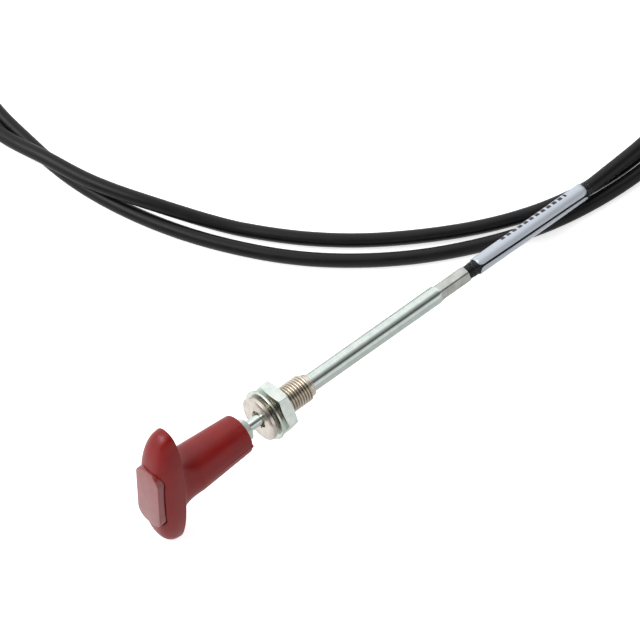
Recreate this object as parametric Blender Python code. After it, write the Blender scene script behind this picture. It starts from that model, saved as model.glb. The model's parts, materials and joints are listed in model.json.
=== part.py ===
"""Push-pull stop cable with a moulded T handle.

A steel pull rod runs through a threaded panel bushing and a steel guide tube, and
drives a wire inside a flexible conduit, which lies in two loops on the table.

Every length below is in millimetres and is turned to metres where a mesh is made.
The pieces on the pull axis are built in the axis frame: x runs from the handle to
the cable, with its zero at the parting line of the handle's bar.
"""
import math

import bmesh
import bpy
import numpy as np
from mathutils import Matrix, Vector

MM = 0.001
GAP = 0.3            # clearance between two pieces that touch
SIDES = 32           # facets round a turned piece
SMALL_SIDES = 20     # facets round a wire or a liner

# Pose of the pull axis on the table
AXIS_HEIGHT = 37.45  # height of the axis at the bar's parting line
AXIS_TILT = 5.75     # degrees that the axis falls towards the cable
HANDLE_ROLL = 9.0    # degrees that the bar leans about the axis

# T handle, moulded in one piece
BAR_LENGTH = 76.0
BAR_WIDTH = 23.0
BAR_FRONT = 13.0     # how far the front bulges before the parting line
BAR_BACK = 2.5       # how far the back bulges behind it
BAR_ROUND = 2.5      # exponent of the bar's outline, 2 for an ellipse
BAR_CROWN = 2.4      # exponent of the front's bulge over it
STEM_END = 43.3
STEM_ROOT_RADIUS = 12.2
STEM_END_RADIUS = 10.2
STEM_ROOT = 12.0      # where the fillet into the bar ends
FILLET_SPREAD = 11.0  # how much the fillet adds along the bar
CAP_LENGTH = 37.0
CAP_WIDTH = 16.0
CAP_CORNER = 6.0
CAP_FACE = 13.2      # how far its face stands before the parting line
CAP_SEAT = 7.6       # floor of its pocket in the bar

# M6 insert, lock nut and pull rod
INSERT_RADIUS = 4.6
INSERT_LENGTH = 22.0
LOCK_NUT_FLATS = 10.0
LOCK_NUT_LENGTH = 4.2
ROD_RADIUS = 2.8
ROD_START = 24.0
COLLAR_RADIUS = 3.4
COLLAR_LENGTH = 6.0
COLLAR_STEP = 0.9    # depth of the seat turned into the rod for the collar
WIRE_RADIUS = 0.75
WIRE_GRIP = 10.0     # length of wire held in the rod's end

# Panel bushing, M14 x 1.5
HEAD_FACE = 55.1
HEAD_RADIUS = 11.5
HEAD_LENGTH = 2.0
THREAD_RADIUS = 7.0
THREAD_END = 83.9
NOSE_RADIUS = 5.8
NOSE_LENGTH = 2.3
MOUTH_RADIUS = 4.4
MOUTH_DEPTH = 4.0
SEAL_RADIUS = 4.7
SEAL_LENGTH = 1.9
SOCKET_START = 72.0  # shoulder that stops the collar at full pull
TRAVEL = 60.5        # from rest to the shoulder
ROD_END = SOCKET_START + TRAVEL + COLLAR_LENGTH + GAP
WASHER_FACE = 58.6
WASHER_RADIUS = 13.2
WASHER_THICK = 1.0
NUT_FACE = 62.0
NUT_FLATS = 24.0
NUT_LENGTH = 6.6
NUT_TURN = -11.6       # degrees from a corner straight up

# Guide tube with its crimped end
TUBE_RADIUS = 4.55
TUBE_BORE = 3.7
NECK_START = 165.6
NECK_LENGTH = 2.6
CRIMP_FLATS = 7.7
CRIMP_END = 184.7

# Conduit, liner and label
CONDUIT_RADIUS = 3.5
CORE_RADIUS = 2.5    # conduit core, stripped inside the crimp
LINER_RADIUS = 1.6
LINER_START = 166.5
LINER_END = 255.0
WIRE_END = 245.0
STRAIGHT_END = 266.0
LABEL_START = 191.4
LABEL_END = 259.5
LABEL_RADIUS = 4.3

# Far end
FERRULE_RADIUS = 4.2
FERRULE_LENGTH = 24.0
FERRULE_LIP = 3.0
END_STRAIGHT = 95.0  # hollow length before the ferrule's face
END_WIRE_OUT = 72.0
END_WIRE_IN = 12.0
TIP_RADIUS = 1.5
TIP_LENGTH = 8.0

# Loops of conduit on the table
LIE = CONDUIT_RADIUS + 0.3           # height of the centre of a strand on the table
OVER = LIE + 2.0 * CONDUIT_RADIUS + 0.3   # height of a strand that crosses another
TIED = LIE + 2.3                     # height of a strand inside the tie
PITCH = 7.6                          # spacing of strands that lie side by side
RIGHT_CENTRE = (298.0, 77.0)
RIGHT_RADIUS = 68.0
LEFT_CENTRE = (143.5, 217.0)
LEFT_RADIUS = 64.0
FAR_ANGLE = math.degrees(math.atan2(
    RIGHT_CENTRE[0] - LEFT_CENTRE[0], LEFT_CENTRE[1] - RIGHT_CENTRE[1]))
TIE_ANGLE = 18.0
TIE_WIDTH = 6.0
TIE_ROOM = 0.9       # slack round the strands in the tie
TIE_THICK = 1.2

WHITE_ZINC = (0.55, 0.58, 0.58, 1.0)
NICKEL = (0.60, 0.56, 0.53, 1.0)
RED = (0.24, 0.018, 0.018, 1.0)
BLACK = (0.012, 0.012, 0.013, 1.0)
PAPER = (0.62, 0.66, 0.72, 1.0)
BRASS = (0.62, 0.45, 0.18, 1.0)
STEEL = (0.45, 0.45, 0.46, 1.0)
NYLON = (0.75, 0.74, 0.70, 1.0)


def clear_scene():
    for old in list(bpy.data.objects):
        bpy.data.objects.remove(old, do_unlink=True)


def collection(name):
    made = bpy.data.collections.new(name)
    bpy.context.scene.collection.children.link(made)
    return made


def material(name, colour, roughness, metallic=0.0):
    made = bpy.data.materials.new(name)
    made.use_nodes = True
    shader = made.node_tree.nodes["Principled BSDF"]
    shader.inputs["Base Color"].default_value = colour
    shader.inputs["Roughness"].default_value = roughness
    shader.inputs["Metallic"].default_value = metallic
    return made


def add_object(name, mesh, group, mat=None, parent=None):
    made = bpy.data.objects.new(name, mesh)
    group.objects.link(made)
    if mat is not None:
        mesh.materials.append(mat)
    if parent is not None:
        made.parent = parent
    return made


def finish(bm, name):
    """Turn a bmesh in millimetres to a smooth-shaded mesh in metres."""
    bmesh.ops.scale(bm, vec=(MM, MM, MM), verts=bm.verts)
    bmesh.ops.recalc_face_normals(bm, faces=bm.faces)
    mesh = bpy.data.meshes.new(name)
    bm.to_mesh(mesh)
    bm.free()
    mesh.shade_smooth()
    mesh.set_sharp_from_angle(angle=math.radians(35))
    return mesh


def turned(name, profile, group, mat, parent, sides=SIDES):
    """A closed ring turned about x from (x, radius) points, or a solid that meets the axis."""
    bm = bmesh.new()
    verts = [bm.verts.new((x, 0.0, radius)) for x, radius in profile]
    edges = [bm.edges.new((a, b)) for a, b in zip(verts, verts[1:])]
    if profile[0][1] > 0.0:
        edges.append(bm.edges.new((verts[-1], verts[0])))
    bmesh.ops.spin(bm, geom=verts + edges, cent=(0, 0, 0), axis=(1, 0, 0),
                   angle=2.0 * math.pi, steps=sides, use_merge=True)
    bmesh.ops.remove_doubles(bm, verts=bm.verts, dist=0.001)
    return add_object(name, finish(bm, name), group, mat, parent)


def tube_profile(start, end, bore, radius):
    return [(start, bore), (start, radius), (end, radius), (end, bore)]


def rod_profile(start, end, radius, chamfer=0.3):
    return [(start, 0.0), (start, radius - chamfer), (start + chamfer, radius),
            (end - chamfer, radius), (end, radius - chamfer), (end, 0.0)]


def hex_prism(name, start, length, flats, turn, chamfer, group):
    """A hexagonal prism along x with its corners chamfered, as a cutter or a blank."""
    corner = flats / math.sqrt(3.0)
    bm = bmesh.new()
    bmesh.ops.create_cone(bm, cap_ends=True, segments=6, radius1=corner, radius2=corner,
                          depth=length, matrix=Matrix.Translation((0, 0, length / 2)))
    bmesh.ops.rotate(bm, verts=bm.verts, matrix=Matrix.Rotation(math.radians(90), 3, "Y"))
    bmesh.ops.rotate(bm, verts=bm.verts, matrix=Matrix.Rotation(math.radians(turn), 3, "X"))
    bmesh.ops.translate(bm, verts=bm.verts, vec=(start, 0, 0))
    blank = add_object(name, finish(bm, name), group)
    if chamfer > 0.0:
        outer = corner + 1.0
        cone = turned(name + "_chamfer", [
            (start - 1.0, 0.0), (start - 1.0, flats / 2 - 0.5 - 1.8), (start, flats / 2 - 0.5),
            (start + chamfer, corner), (start + chamfer, outer),
            (start + length - chamfer, outer), (start + length - chamfer, corner),
            (start + length, flats / 2 - 0.5), (start + length + 1.0, flats / 2 - 0.5 - 1.8),
            (start + length + 1.0, 0.0)], group, None, None)
        boolean(blank, cone, "INTERSECT")
    return blank


def boolean(target, cutter, operation="DIFFERENCE"):
    cut = target.modifiers.new(cutter.name, "BOOLEAN")
    cut.operation = operation
    cut.solver = "EXACT"
    cut.object = cutter
    cutter.hide_render = True
    cutter.display_type = "WIRE"


def to_frame(points, frame):
    return [tuple(frame @ Vector(point)) for point in points]


def empty(name, group, matrix, parent=None):
    made = bpy.data.objects.new(name, None)
    group.objects.link(made)
    if parent is not None:
        made.parent = parent
    made.matrix_basis = matrix
    return made


def axis_frame():
    """Matrix from the axis frame to the table, in millimetres."""
    return (Matrix.Translation((0, 0, AXIS_HEIGHT))
            @ Matrix.Rotation(math.radians(AXIS_TILT), 4, "Y"))


def table_frame():
    """Shift that puts the origin under the middle of the handle and tube, in millimetres."""
    tilt = math.radians(AXIS_TILT)
    lean = math.radians(HANDLE_ROLL)
    front = CAP_FACE * math.cos(tilt) + CAP_LENGTH / 2 * math.cos(lean) * math.sin(tilt)
    rear = CRIMP_END * math.cos(tilt) + CRIMP_FLATS / 2 * math.sin(tilt)
    return Matrix.Translation(((front - rear) / 2, 0, 0))


def in_metres(frame):
    made = frame.copy()
    made.translation = made.translation * MM
    return made


# ---------------------------------------------------------------- handle

def signed_power(value, power):
    return math.copysign(abs(value) ** power, value)


def bar_mesh(name):
    """The boat-shaped bar: a sphere drawn out along z, full in front and nearly flat behind."""
    bm = bmesh.new()
    bmesh.ops.create_uvsphere(bm, u_segments=28, v_segments=20, radius=1.0)
    bmesh.ops.rotate(bm, verts=bm.verts, matrix=Matrix.Rotation(math.radians(90), 3, "Y"))
    for vert in bm.verts:
        x, y, z = vert.co
        rim = math.hypot(y, z)
        if rim > 1e-6:
            swell = rim / (abs(y) ** BAR_ROUND + abs(z) ** BAR_ROUND) ** (1.0 / BAR_ROUND)
            y, z = y * swell, z * swell
        if x < 0:
            x = -BAR_FRONT * max(0.0, 1.0 - rim ** BAR_CROWN) ** (1.0 / BAR_CROWN)
        else:
            x = x * BAR_BACK
        vert.co = (x, y * BAR_WIDTH / 2, z * BAR_LENGTH / 2)
    return finish(bm, name)


def stem_mesh(name):
    """The tapered stem, which spreads along the bar where it meets it."""
    bm = bmesh.new()
    stations = [(0.5, STEM_ROOT_RADIUS - 1.0, STEM_ROOT_RADIUS + FILLET_SPREAD)]
    for step in range(1, 6):
        share = step / 5.0
        x = 0.5 + (STEM_ROOT - 0.5) * share
        spread = FILLET_SPREAD * (1.0 - math.sqrt(1.0 - (1.0 - share) ** 2))
        stations.append((x, STEM_ROOT_RADIUS - 1.0 + share, STEM_ROOT_RADIUS + spread))
    stations.append((STEM_END - 0.8, STEM_END_RADIUS, STEM_END_RADIUS))
    stations.append((STEM_END, STEM_END_RADIUS - 0.8, STEM_END_RADIUS - 0.8))
    rings = []
    for x, half_width, half_length in stations:
        ring = []
        for i in range(SIDES):
            turn = 2.0 * math.pi * i / SIDES
            ring.append(bm.verts.new((x, half_width * math.cos(turn),
                                      half_length * math.sin(turn))))
        rings.append(ring)
    for low, high in zip(rings, rings[1:]):
        for i in range(SIDES):
            j = (i + 1) % SIDES
            bm.faces.new((low[i], low[j], high[j], high[i]))
    bm.faces.new(rings[0])
    bm.faces.new(rings[-1])
    return finish(bm, name)


def rounded_plate(name, start, end, length, width, corner, group, mat=None, parent=None):
    """A plate across the x axis with a rounded-rectangle outline, long side along z."""
    bm = bmesh.new()
    outline = []
    for sy, sz, first in ((1, 1, 0), (-1, 1, 90), (-1, -1, 180), (1, -1, 270)):
        for k in range(6):
            turn = math.radians(first + 18 * k)
            outline.append(bm.verts.new((
                start, sy * (width / 2 - corner) + corner * math.cos(turn),
                sz * (length / 2 - corner) + corner * math.sin(turn))))
    face = bm.faces.new(outline)
    grown = bmesh.ops.extrude_face_region(bm, geom=[face])
    moved = [v for v in grown["geom"] if isinstance(v, bmesh.types.BMVert)]
    bmesh.ops.translate(bm, verts=moved, vec=(end - start, 0, 0))
    return add_object(name, finish(bm, name), group, mat, parent)


def build_handle(parts, cutters, parent, red, brass):
    grip = add_object("handle_grip", bar_mesh("handle_grip"), parts, red, parent)
    stem = add_object("stem_blank", stem_mesh("stem_blank"), cutters, None, parent)
    boolean(grip, stem, "UNION")
    pocket = rounded_plate("cap_pocket", -CAP_FACE - 5.0, -CAP_SEAT, CAP_LENGTH + 2 * GAP,
                           CAP_WIDTH + 2 * GAP, CAP_CORNER + GAP, cutters, None, parent)
    boolean(grip, pocket)
    bore_start = STEM_END - INSERT_LENGTH - 2 * GAP
    bore = turned("insert_bore", rod_profile(bore_start, STEM_END + 2.0, INSERT_RADIUS + GAP, 0.1),
                  cutters, None, parent)
    boolean(grip, bore)
    rounded_plate("handle_cap", -CAP_FACE, -CAP_SEAT - GAP, CAP_LENGTH, CAP_WIDTH, CAP_CORNER,
                  parts, red, parent)
    turned("handle_insert", tube_profile(STEM_END - INSERT_LENGTH, STEM_END - GAP,
                                         ROD_RADIUS + GAP, INSERT_RADIUS),
           parts, brass, parent)


# ---------------------------------------------------------------- pull rod

def build_pull(parts, cutters, parent, zinc, steel):
    nut = hex_prism("lock_nut", STEM_END + GAP, LOCK_NUT_LENGTH, LOCK_NUT_FLATS, 12.0, 0.5, cutters)
    cutters.objects.unlink(nut)
    parts.objects.link(nut)
    nut.data.materials.append(zinc)
    nut.parent = parent
    for cutter in cutters.objects:
        if cutter.name == "lock_nut_chamfer":
            cutter.parent = parent
    hole = turned("lock_nut_hole", rod_profile(STEM_END - 2.0, STEM_END + LOCK_NUT_LENGTH + 3.0,
                                               ROD_RADIUS + GAP, 0.1), cutters, None, parent)
    boolean(nut, hole)
    seat = ROD_END - COLLAR_LENGTH - 2 * GAP
    turned("pull_rod", [
        (ROD_START, 0.0), (ROD_START, ROD_RADIUS - 0.4), (ROD_START + 0.4, ROD_RADIUS),
        (seat, ROD_RADIUS), (seat, ROD_RADIUS - COLLAR_STEP), (ROD_END, ROD_RADIUS - COLLAR_STEP),
        (ROD_END, WIRE_RADIUS + GAP), (ROD_END - WIRE_GRIP - GAP, WIRE_RADIUS + GAP),
        (ROD_END - WIRE_GRIP - GAP, 0.0)], parts, zinc, parent)
    turned("stop_collar", tube_profile(ROD_END - COLLAR_LENGTH - GAP, ROD_END - GAP,
                                       ROD_RADIUS - COLLAR_STEP + GAP, COLLAR_RADIUS),
           parts, steel, parent)
    turned("inner_wire", rod_profile(ROD_END - WIRE_GRIP, WIRE_END, WIRE_RADIUS, 0.1),
           parts, steel, parent, SMALL_SIDES)


# ---------------------------------------------------------------- panel fixing

def build_bushing(parts, parent, nickel, rubber):
    bore = ROD_RADIUS + GAP
    seal_start = HEAD_FACE + MOUTH_DEPTH + 1.0
    seal_end = seal_start + SEAL_LENGTH + 2 * GAP
    tail = THREAD_END + NOSE_LENGTH
    turned("bushing", [
        (HEAD_FACE, MOUTH_RADIUS), (HEAD_FACE, HEAD_RADIUS - 0.5),
        (HEAD_FACE + 0.5, HEAD_RADIUS), (HEAD_FACE + HEAD_LENGTH, HEAD_RADIUS),
        (HEAD_FACE + HEAD_LENGTH, THREAD_RADIUS), (THREAD_END - 0.8, THREAD_RADIUS),
        (THREAD_END, THREAD_RADIUS - 0.8), (THREAD_END, NOSE_RADIUS), (tail, NOSE_RADIUS),
        (tail, TUBE_RADIUS + GAP), (SOCKET_START, TUBE_RADIUS + GAP), (SOCKET_START, bore),
        (seal_end, bore), (seal_end, SEAL_RADIUS + GAP), (seal_start, SEAL_RADIUS + GAP),
        (seal_start, bore), (HEAD_FACE + MOUTH_DEPTH, bore),
        (HEAD_FACE + MOUTH_DEPTH, MOUTH_RADIUS)], parts, nickel, parent)
    turned("rod_seal", tube_profile(seal_start + GAP, seal_end - GAP, bore, SEAL_RADIUS),
           parts, rubber, parent)


def build_washer(parts, parent, zinc):
    turned("panel_washer", tube_profile(WASHER_FACE, WASHER_FACE + WASHER_THICK,
                                        THREAD_RADIUS + GAP, WASHER_RADIUS),
           parts, zinc, parent)


def build_nut(parts, cutters, parent, zinc):
    nut = hex_prism("panel_nut", NUT_FACE, NUT_LENGTH, NUT_FLATS, NUT_TURN, 0.9, cutters)
    cutters.objects.unlink(nut)
    parts.objects.link(nut)
    nut.data.materials.append(zinc)
    nut.parent = parent
    for cutter in cutters.objects:
        if cutter.name == "panel_nut_chamfer":
            cutter.parent = parent
    hole = turned("panel_nut_hole", rod_profile(NUT_FACE - 3.0, NUT_FACE + NUT_LENGTH + 3.0,
                                                THREAD_RADIUS + GAP, 0.1), cutters, None, parent)
    boolean(nut, hole)


# ---------------------------------------------------------------- guide tube and conduit

def build_tube(parts, cutters, parent, zinc):
    crimp = CRIMP_FLATS / 2 + 0.1
    neck_end = NECK_START + NECK_LENGTH
    tube = turned("guide_tube", [
        (SOCKET_START + GAP, TUBE_BORE), (SOCKET_START + GAP, TUBE_RADIUS),
        (NECK_START, TUBE_RADIUS), (neck_end, crimp + 0.25), (CRIMP_END, crimp + 0.25),
        (CRIMP_END, CORE_RADIUS + GAP), (NECK_START, CORE_RADIUS + GAP),
        (NECK_START, TUBE_BORE)], parts, zinc, parent)
    dies = hex_prism("crimp_dies", neck_end, CRIMP_END - neck_end + 5.0, CRIMP_FLATS, 0.0, 0.0,
                     cutters)
    dies.parent = parent
    sleeve = turned("crimp_keep", rod_profile(0.0, neck_end + 0.6, TUBE_RADIUS + 5.0, 0.1),
                    cutters, None, parent)
    boolean(dies, sleeve, "UNION")
    boolean(tube, dies, "INTERSECT")


def build_conduit_start(parts, parent, pvc, nylon, paper):
    bore = LINER_RADIUS + GAP
    turned("conduit_start", [
        (NECK_START + NECK_LENGTH, bore), (NECK_START + NECK_LENGTH, CORE_RADIUS),
        (CRIMP_END + GAP, CORE_RADIUS), (CRIMP_END + GAP, CONDUIT_RADIUS),
        (STRAIGHT_END, CONDUIT_RADIUS), (STRAIGHT_END, bore)], parts, pvc, parent)
    turned("conduit_liner", tube_profile(LINER_START, LINER_END, WIRE_RADIUS + GAP, LINER_RADIUS),
           parts, nylon, parent, SMALL_SIDES)
    turned("label_wrap", tube_profile(LABEL_START, LABEL_END, CONDUIT_RADIUS + GAP, LABEL_RADIUS),
           parts, paper, parent)


# ---------------------------------------------------------------- loops on the table

def around(centre, radius, angles, height):
    """Points on a bend, one for each angle in degrees."""
    return [(centre[0] + radius * math.cos(math.radians(turn)),
             centre[1] + radius * math.sin(math.radians(turn)), height) for turn in angles]


def right_angles():
    return [-82.0, -62.0, -42.0, -22.0, -2.0, TIE_ANGLE, 34.0]


def left_angles():
    return [FAR_ANGLE, 75.0, 101.0, 127.0, 153.0, 177.0]


def far_point(share, track, height):
    """A point of the straight far side, share 0 at the right bend and 1 at the left one."""
    out = (math.cos(math.radians(FAR_ANGLE)), math.sin(math.radians(FAR_ANGLE)))
    radius = RIGHT_RADIUS + (LEFT_RADIUS - RIGHT_RADIUS) * share + PITCH * track
    return tuple(RIGHT_CENTRE[k] + (LEFT_CENTRE[k] - RIGHT_CENTRE[k]) * share + radius * out[k]
                 for k in range(2)) + (height,)


def conduit_route():
    """The route's points from the end of the straight start to the start of the straight end."""
    frame = axis_frame()
    route = [tuple(frame @ Vector((STRAIGHT_END + 2 * GAP, 0, 0))), (282.0, 0.2, OVER - 0.1)]
    # first bend: comes down from the strand below it to the inner track
    drop = [(PITCH, OVER), (6.2, OVER), (3.4, 10.2), (0.8, 7.2), (-0.2, 4.6), (0.0, TIED),
            (0.0, LIE)]
    for turn, (track, height) in zip(right_angles(), drop):
        route += around(RIGHT_CENTRE, RIGHT_RADIUS + track, [turn], height)
    # far side: crosses over the second turn, from the inner track to the next
    route += [far_point(0.0, 0.0, LIE), far_point(0.18, -0.05, LIE + 4.0),
              far_point(0.36, 0.2, OVER + 0.4), far_point(0.5, 0.5, OVER + 0.8),
              far_point(0.64, 0.8, OVER + 0.4), far_point(0.82, 1.05, LIE + 4.0)]
    for turn in left_angles():
        height = LIE + 0.9 if turn > 170.0 else LIE
        route += around(LEFT_CENTRE, LEFT_RADIUS + PITCH, [turn], height)
    # near side, upper strand: a long hump over the lower strand on the left
    route += [(72.1, 206.0, 6.7), (74.4, 194.0, 9.2), (77.8, 182.0, 10.9), (83.2, 164.0, 11.4),
              (90.5, 147.0, 11.2), (99.0, 132.0, 10.2), (110.0, 115.5, 7.0), (125.0, 94.5, LIE),
              (143.5, 72.0, LIE), (164.0, 52.5, LIE), (187.0, 35.5, LIE), (212.0, 20.5, LIE),
              (240.0, 8.6, LIE), (268.0, 2.2, LIE)]
    for turn in right_angles():
        height = TIED if turn == TIE_ANGLE else LIE
        route += around(RIGHT_CENTRE, RIGHT_RADIUS + PITCH, [turn], height)
    route += [far_point(0.0, 1.0, LIE), far_point(0.18, 1.05, LIE), far_point(0.36, 0.85, LIE),
              far_point(0.5, 0.5, LIE), far_point(0.64, 0.15, LIE), far_point(0.82, -0.05, LIE)]
    route += around(LEFT_CENTRE, LEFT_RADIUS, left_angles(), LIE)
    # near side, lower strand
    route += [(79.8, 198.0, LIE), (80.6, 182.0, LIE), (83.0, 165.0, LIE), (87.4, 148.0, LIE),
              (94.0, 130.0, LIE), (103.0, 111.0, LIE), (118.5, 86.0, LIE), (136.0, 64.0, LIE),
              (156.5, 44.5, LIE), (179.5, 27.5, LIE), (205.5, 13.0, LIE), (235.0, 1.2, LIE),
              (265.0, -5.2, LIE)]
    for turn in right_angles():
        height = TIED if turn == TIE_ANGLE else LIE
        route += around(RIGHT_CENTRE, RIGHT_RADIUS + 2 * PITCH, [turn], height)
    route += [far_point(0.0, 2.05, LIE + 0.3)]
    return route


def end_frame():
    """Frame of the straight far end: x along the cable, in millimetres."""
    start = Vector(far_point(0.06, 2.2, FERRULE_RADIUS + 0.2))
    along = math.radians(FAR_ANGLE + 90.0)
    return Matrix.Translation(start) @ Matrix.Rotation(along, 4, "Z")


def smooth_points(points, per_span):
    """Points of a natural cubic spline through the given points, spaced by chord length."""
    knots = np.array(points)
    spans = np.linalg.norm(np.diff(knots, axis=0), axis=1)
    count = len(knots)
    rows = np.zeros((count, count))
    right = np.zeros((count, 3))
    rows[0, 0] = rows[-1, -1] = 1.0
    for i in range(1, count - 1):
        before, after = spans[i - 1], spans[i]
        rows[i, i - 1:i + 2] = before, 2.0 * (before + after), after
        right[i] = 6.0 * ((knots[i + 1] - knots[i]) / after - (knots[i] - knots[i - 1]) / before)
    bend = np.linalg.solve(rows, right)
    made = []
    for i, span in enumerate(spans):
        for step in range(per_span):
            far = span * step / per_span
            near = span - far
            made.append((bend[i] * near ** 3 + bend[i + 1] * far ** 3) / (6.0 * span)
                        + (knots[i] / span - bend[i] * span / 6.0) * near
                        + (knots[i + 1] / span - bend[i + 1] * span / 6.0) * far)
    made.append(knots[-1])
    return made


def cord_mesh(name, points, radius):
    """A closed tube along the points, by way of a curve with a round bevel."""
    curve = bpy.data.curves.new(name, "CURVE")
    curve.dimensions = "3D"
    curve.bevel_depth = radius * MM
    curve.bevel_resolution = 2
    curve.use_fill_caps = True
    spline = curve.splines.new("POLY")
    spline.points.add(len(points) - 1)
    for target, point in zip(spline.points, points):
        target.co = (point[0] * MM, point[1] * MM, point[2] * MM, 1.0)
    return curve


def build_loops(parts, parent, pvc):
    points = smooth_points(conduit_route() + [tuple(end_frame().translation)], 1)
    curve = cord_mesh("conduit", points, CONDUIT_RADIUS)
    curve.materials.append(pvc)
    made = bpy.data.objects.new("conduit", curve)
    parts.objects.link(made)
    made.parent = parent


def build_tie(parts, cutters, parent, rubber):
    """A strap round the three strands on the right bend."""
    turn = math.radians(TIE_ANGLE)
    middle = RIGHT_RADIUS + PITCH
    frame = (Matrix.Translation((RIGHT_CENTRE[0] + middle * math.cos(turn),
                                 RIGHT_CENTRE[1] + middle * math.sin(turn), TIED))
             @ Matrix.Rotation(turn + math.pi / 2, 4, "Z"))
    room = CONDUIT_RADIUS + TIE_ROOM
    half = PITCH + room
    holder = empty("tie_frame", cutters, in_metres(frame), parent)
    tie = rounded_plate("coil_tie", -TIE_WIDTH / 2, TIE_WIDTH / 2, 2 * (room + TIE_THICK),
                        2 * (half + TIE_THICK), room, parts, rubber, holder)
    hole = rounded_plate("tie_hole", -TIE_WIDTH, TIE_WIDTH, 2 * room, 2 * half, room - 0.1,
                         cutters, None, holder)
    boolean(tie, hole)


def build_far_end(parts, fixed, moving, pvc, zinc, steel):
    bore = WIRE_RADIUS + GAP
    start = GAP
    face = start + END_STRAIGHT
    seat = face - FERRULE_LENGTH
    turned("conduit_end", [
        (start, 0.0), (start, CONDUIT_RADIUS), (seat - GAP, CONDUIT_RADIUS),
        (seat - GAP, CORE_RADIUS), (face - FERRULE_LIP - GAP, CORE_RADIUS),
        (face - FERRULE_LIP - GAP, bore), (start + 2.0, bore), (start + 2.0, 0.0)],
        parts, pvc, fixed)
    turned("end_ferrule", [
        (seat, CORE_RADIUS + GAP), (seat, FERRULE_RADIUS - 0.4), (seat + 0.4, FERRULE_RADIUS),
        (face - 0.4, FERRULE_RADIUS), (face, FERRULE_RADIUS - 0.4), (face, bore),
        (face - FERRULE_LIP, bore), (face - FERRULE_LIP, CORE_RADIUS + GAP)],
        parts, zinc, fixed)
    out = face + END_WIRE_OUT
    turned("end_wire", rod_profile(face - END_WIRE_IN, out, WIRE_RADIUS, 0.1), parts, steel,
           moving, SMALL_SIDES)
    turned("wire_tip", [
        (out - TIP_LENGTH + 1.0 + GAP, bore), (out - TIP_LENGTH + 1.0 + GAP, TIP_RADIUS),
        (out + 0.8 + GAP, TIP_RADIUS), (out + 1.0 + GAP, TIP_RADIUS - 0.3),
        (out + 1.0 + GAP, 0.0), (out + GAP, 0.0), (out + GAP, bore)],
        parts, steel, moving, SMALL_SIDES)


def main():
    clear_scene()
    parts = collection("stop_cable")
    cutters = collection("cutters")
    red = material("red_plastic", RED, 0.42)
    zinc = material("white_zinc", WHITE_ZINC, 0.25, 1.0)
    nickel = material("nickel", NICKEL, 0.28, 1.0)
    brass = material("brass", BRASS, 0.35, 1.0)
    steel = material("spring_steel", STEEL, 0.35, 1.0)
    pvc = material("black_pvc", BLACK, 0.45)
    rubber = material("black_rubber", BLACK, 0.7)
    paper = material("label_paper", PAPER, 0.5)
    nylon = material("nylon", NYLON, 0.5)

    table = empty("table", cutters, in_metres(table_frame()))
    axis = empty("pull_axis", cutters, in_metres(axis_frame()), table)
    pull = empty("pull_slide", cutters, Matrix.Identity(4), axis)
    turn = empty("handle_turn", cutters, Matrix.Rotation(math.radians(-HANDLE_ROLL), 4, "X"), pull)
    nut = empty("nut_turn", cutters, Matrix.Identity(4), axis)
    end = empty("far_end", cutters, in_metres(end_frame()), table)

    build_handle(parts, cutters, turn, red, brass)
    build_pull(parts, cutters, pull, zinc, steel)
    build_bushing(parts, axis, nickel, rubber)
    build_washer(parts, nut, zinc)
    build_nut(parts, cutters, nut, zinc)
    build_tube(parts, cutters, axis, zinc)
    build_conduit_start(parts, axis, pvc, nylon, paper)
    build_loops(parts, table, pvc)
    build_tie(parts, cutters, table, rubber)
    build_far_end(parts, end, end, pvc, zinc, steel)


main()
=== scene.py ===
"""Finished look of a push-pull stop cable with a moulded T handle.

The pieces on the pull axis are modelled in millimetres in the axis frame: x runs
from the handle to the cable, with its zero at the parting line of the handle's bar.
"""
import json
import logging
from dataclasses import dataclass, field
from enum import Enum
from math import atan2, cos, degrees, hypot, pi, radians, sin, sqrt
from typing import Any, Callable, Iterable, Optional

import bmesh
import bpy
import numpy as np
from mathutils import Matrix, Vector


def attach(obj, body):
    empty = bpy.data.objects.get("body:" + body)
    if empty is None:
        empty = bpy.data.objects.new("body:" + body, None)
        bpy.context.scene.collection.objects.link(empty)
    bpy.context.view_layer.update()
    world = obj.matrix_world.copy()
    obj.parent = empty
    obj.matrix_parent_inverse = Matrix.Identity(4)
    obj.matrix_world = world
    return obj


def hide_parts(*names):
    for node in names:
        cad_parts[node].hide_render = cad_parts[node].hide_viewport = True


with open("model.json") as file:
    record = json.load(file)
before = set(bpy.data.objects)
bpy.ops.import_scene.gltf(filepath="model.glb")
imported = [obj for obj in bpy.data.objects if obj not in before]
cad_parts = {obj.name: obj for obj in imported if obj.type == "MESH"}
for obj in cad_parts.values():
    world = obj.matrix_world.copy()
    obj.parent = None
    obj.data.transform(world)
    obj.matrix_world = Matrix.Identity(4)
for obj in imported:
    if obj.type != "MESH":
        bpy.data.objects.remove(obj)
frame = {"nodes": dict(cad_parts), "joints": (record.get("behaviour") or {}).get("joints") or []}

log = logging.getLogger("stop_cable")

MM = 0.001
Profile = list[tuple[float, float]]
Span = tuple[float, float]
Point = tuple[float, float, float]
Shape = bmesh.types.BMesh
Piece = bpy.types.Object
Socket = bpy.types.NodeSocket


class Slot(Enum):
    """Material slots of the record."""

    RED = "red_plastic"
    ZINC = "zinc"
    NICKEL = "nickel"
    BRASS = "brass"
    STEEL = "steel"
    PVC = "black_pvc"
    RUBBER = "rubber"
    LABEL = "label"
    NYLON = "nylon"


class Body(Enum):
    """Bodies that the joints join."""

    CABLE = "cable_body"
    HANDLE = "handle"
    WASHER = "washer"
    NUT = "nut"
    FAR_WIRE = "far_wire"


# ---------------------------------------------------------------- frames

def joint(name: str) -> dict[str, Any]:
    """The record's joint of that name."""
    return next(item for item in frame["joints"] if item["name"] == name)


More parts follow.
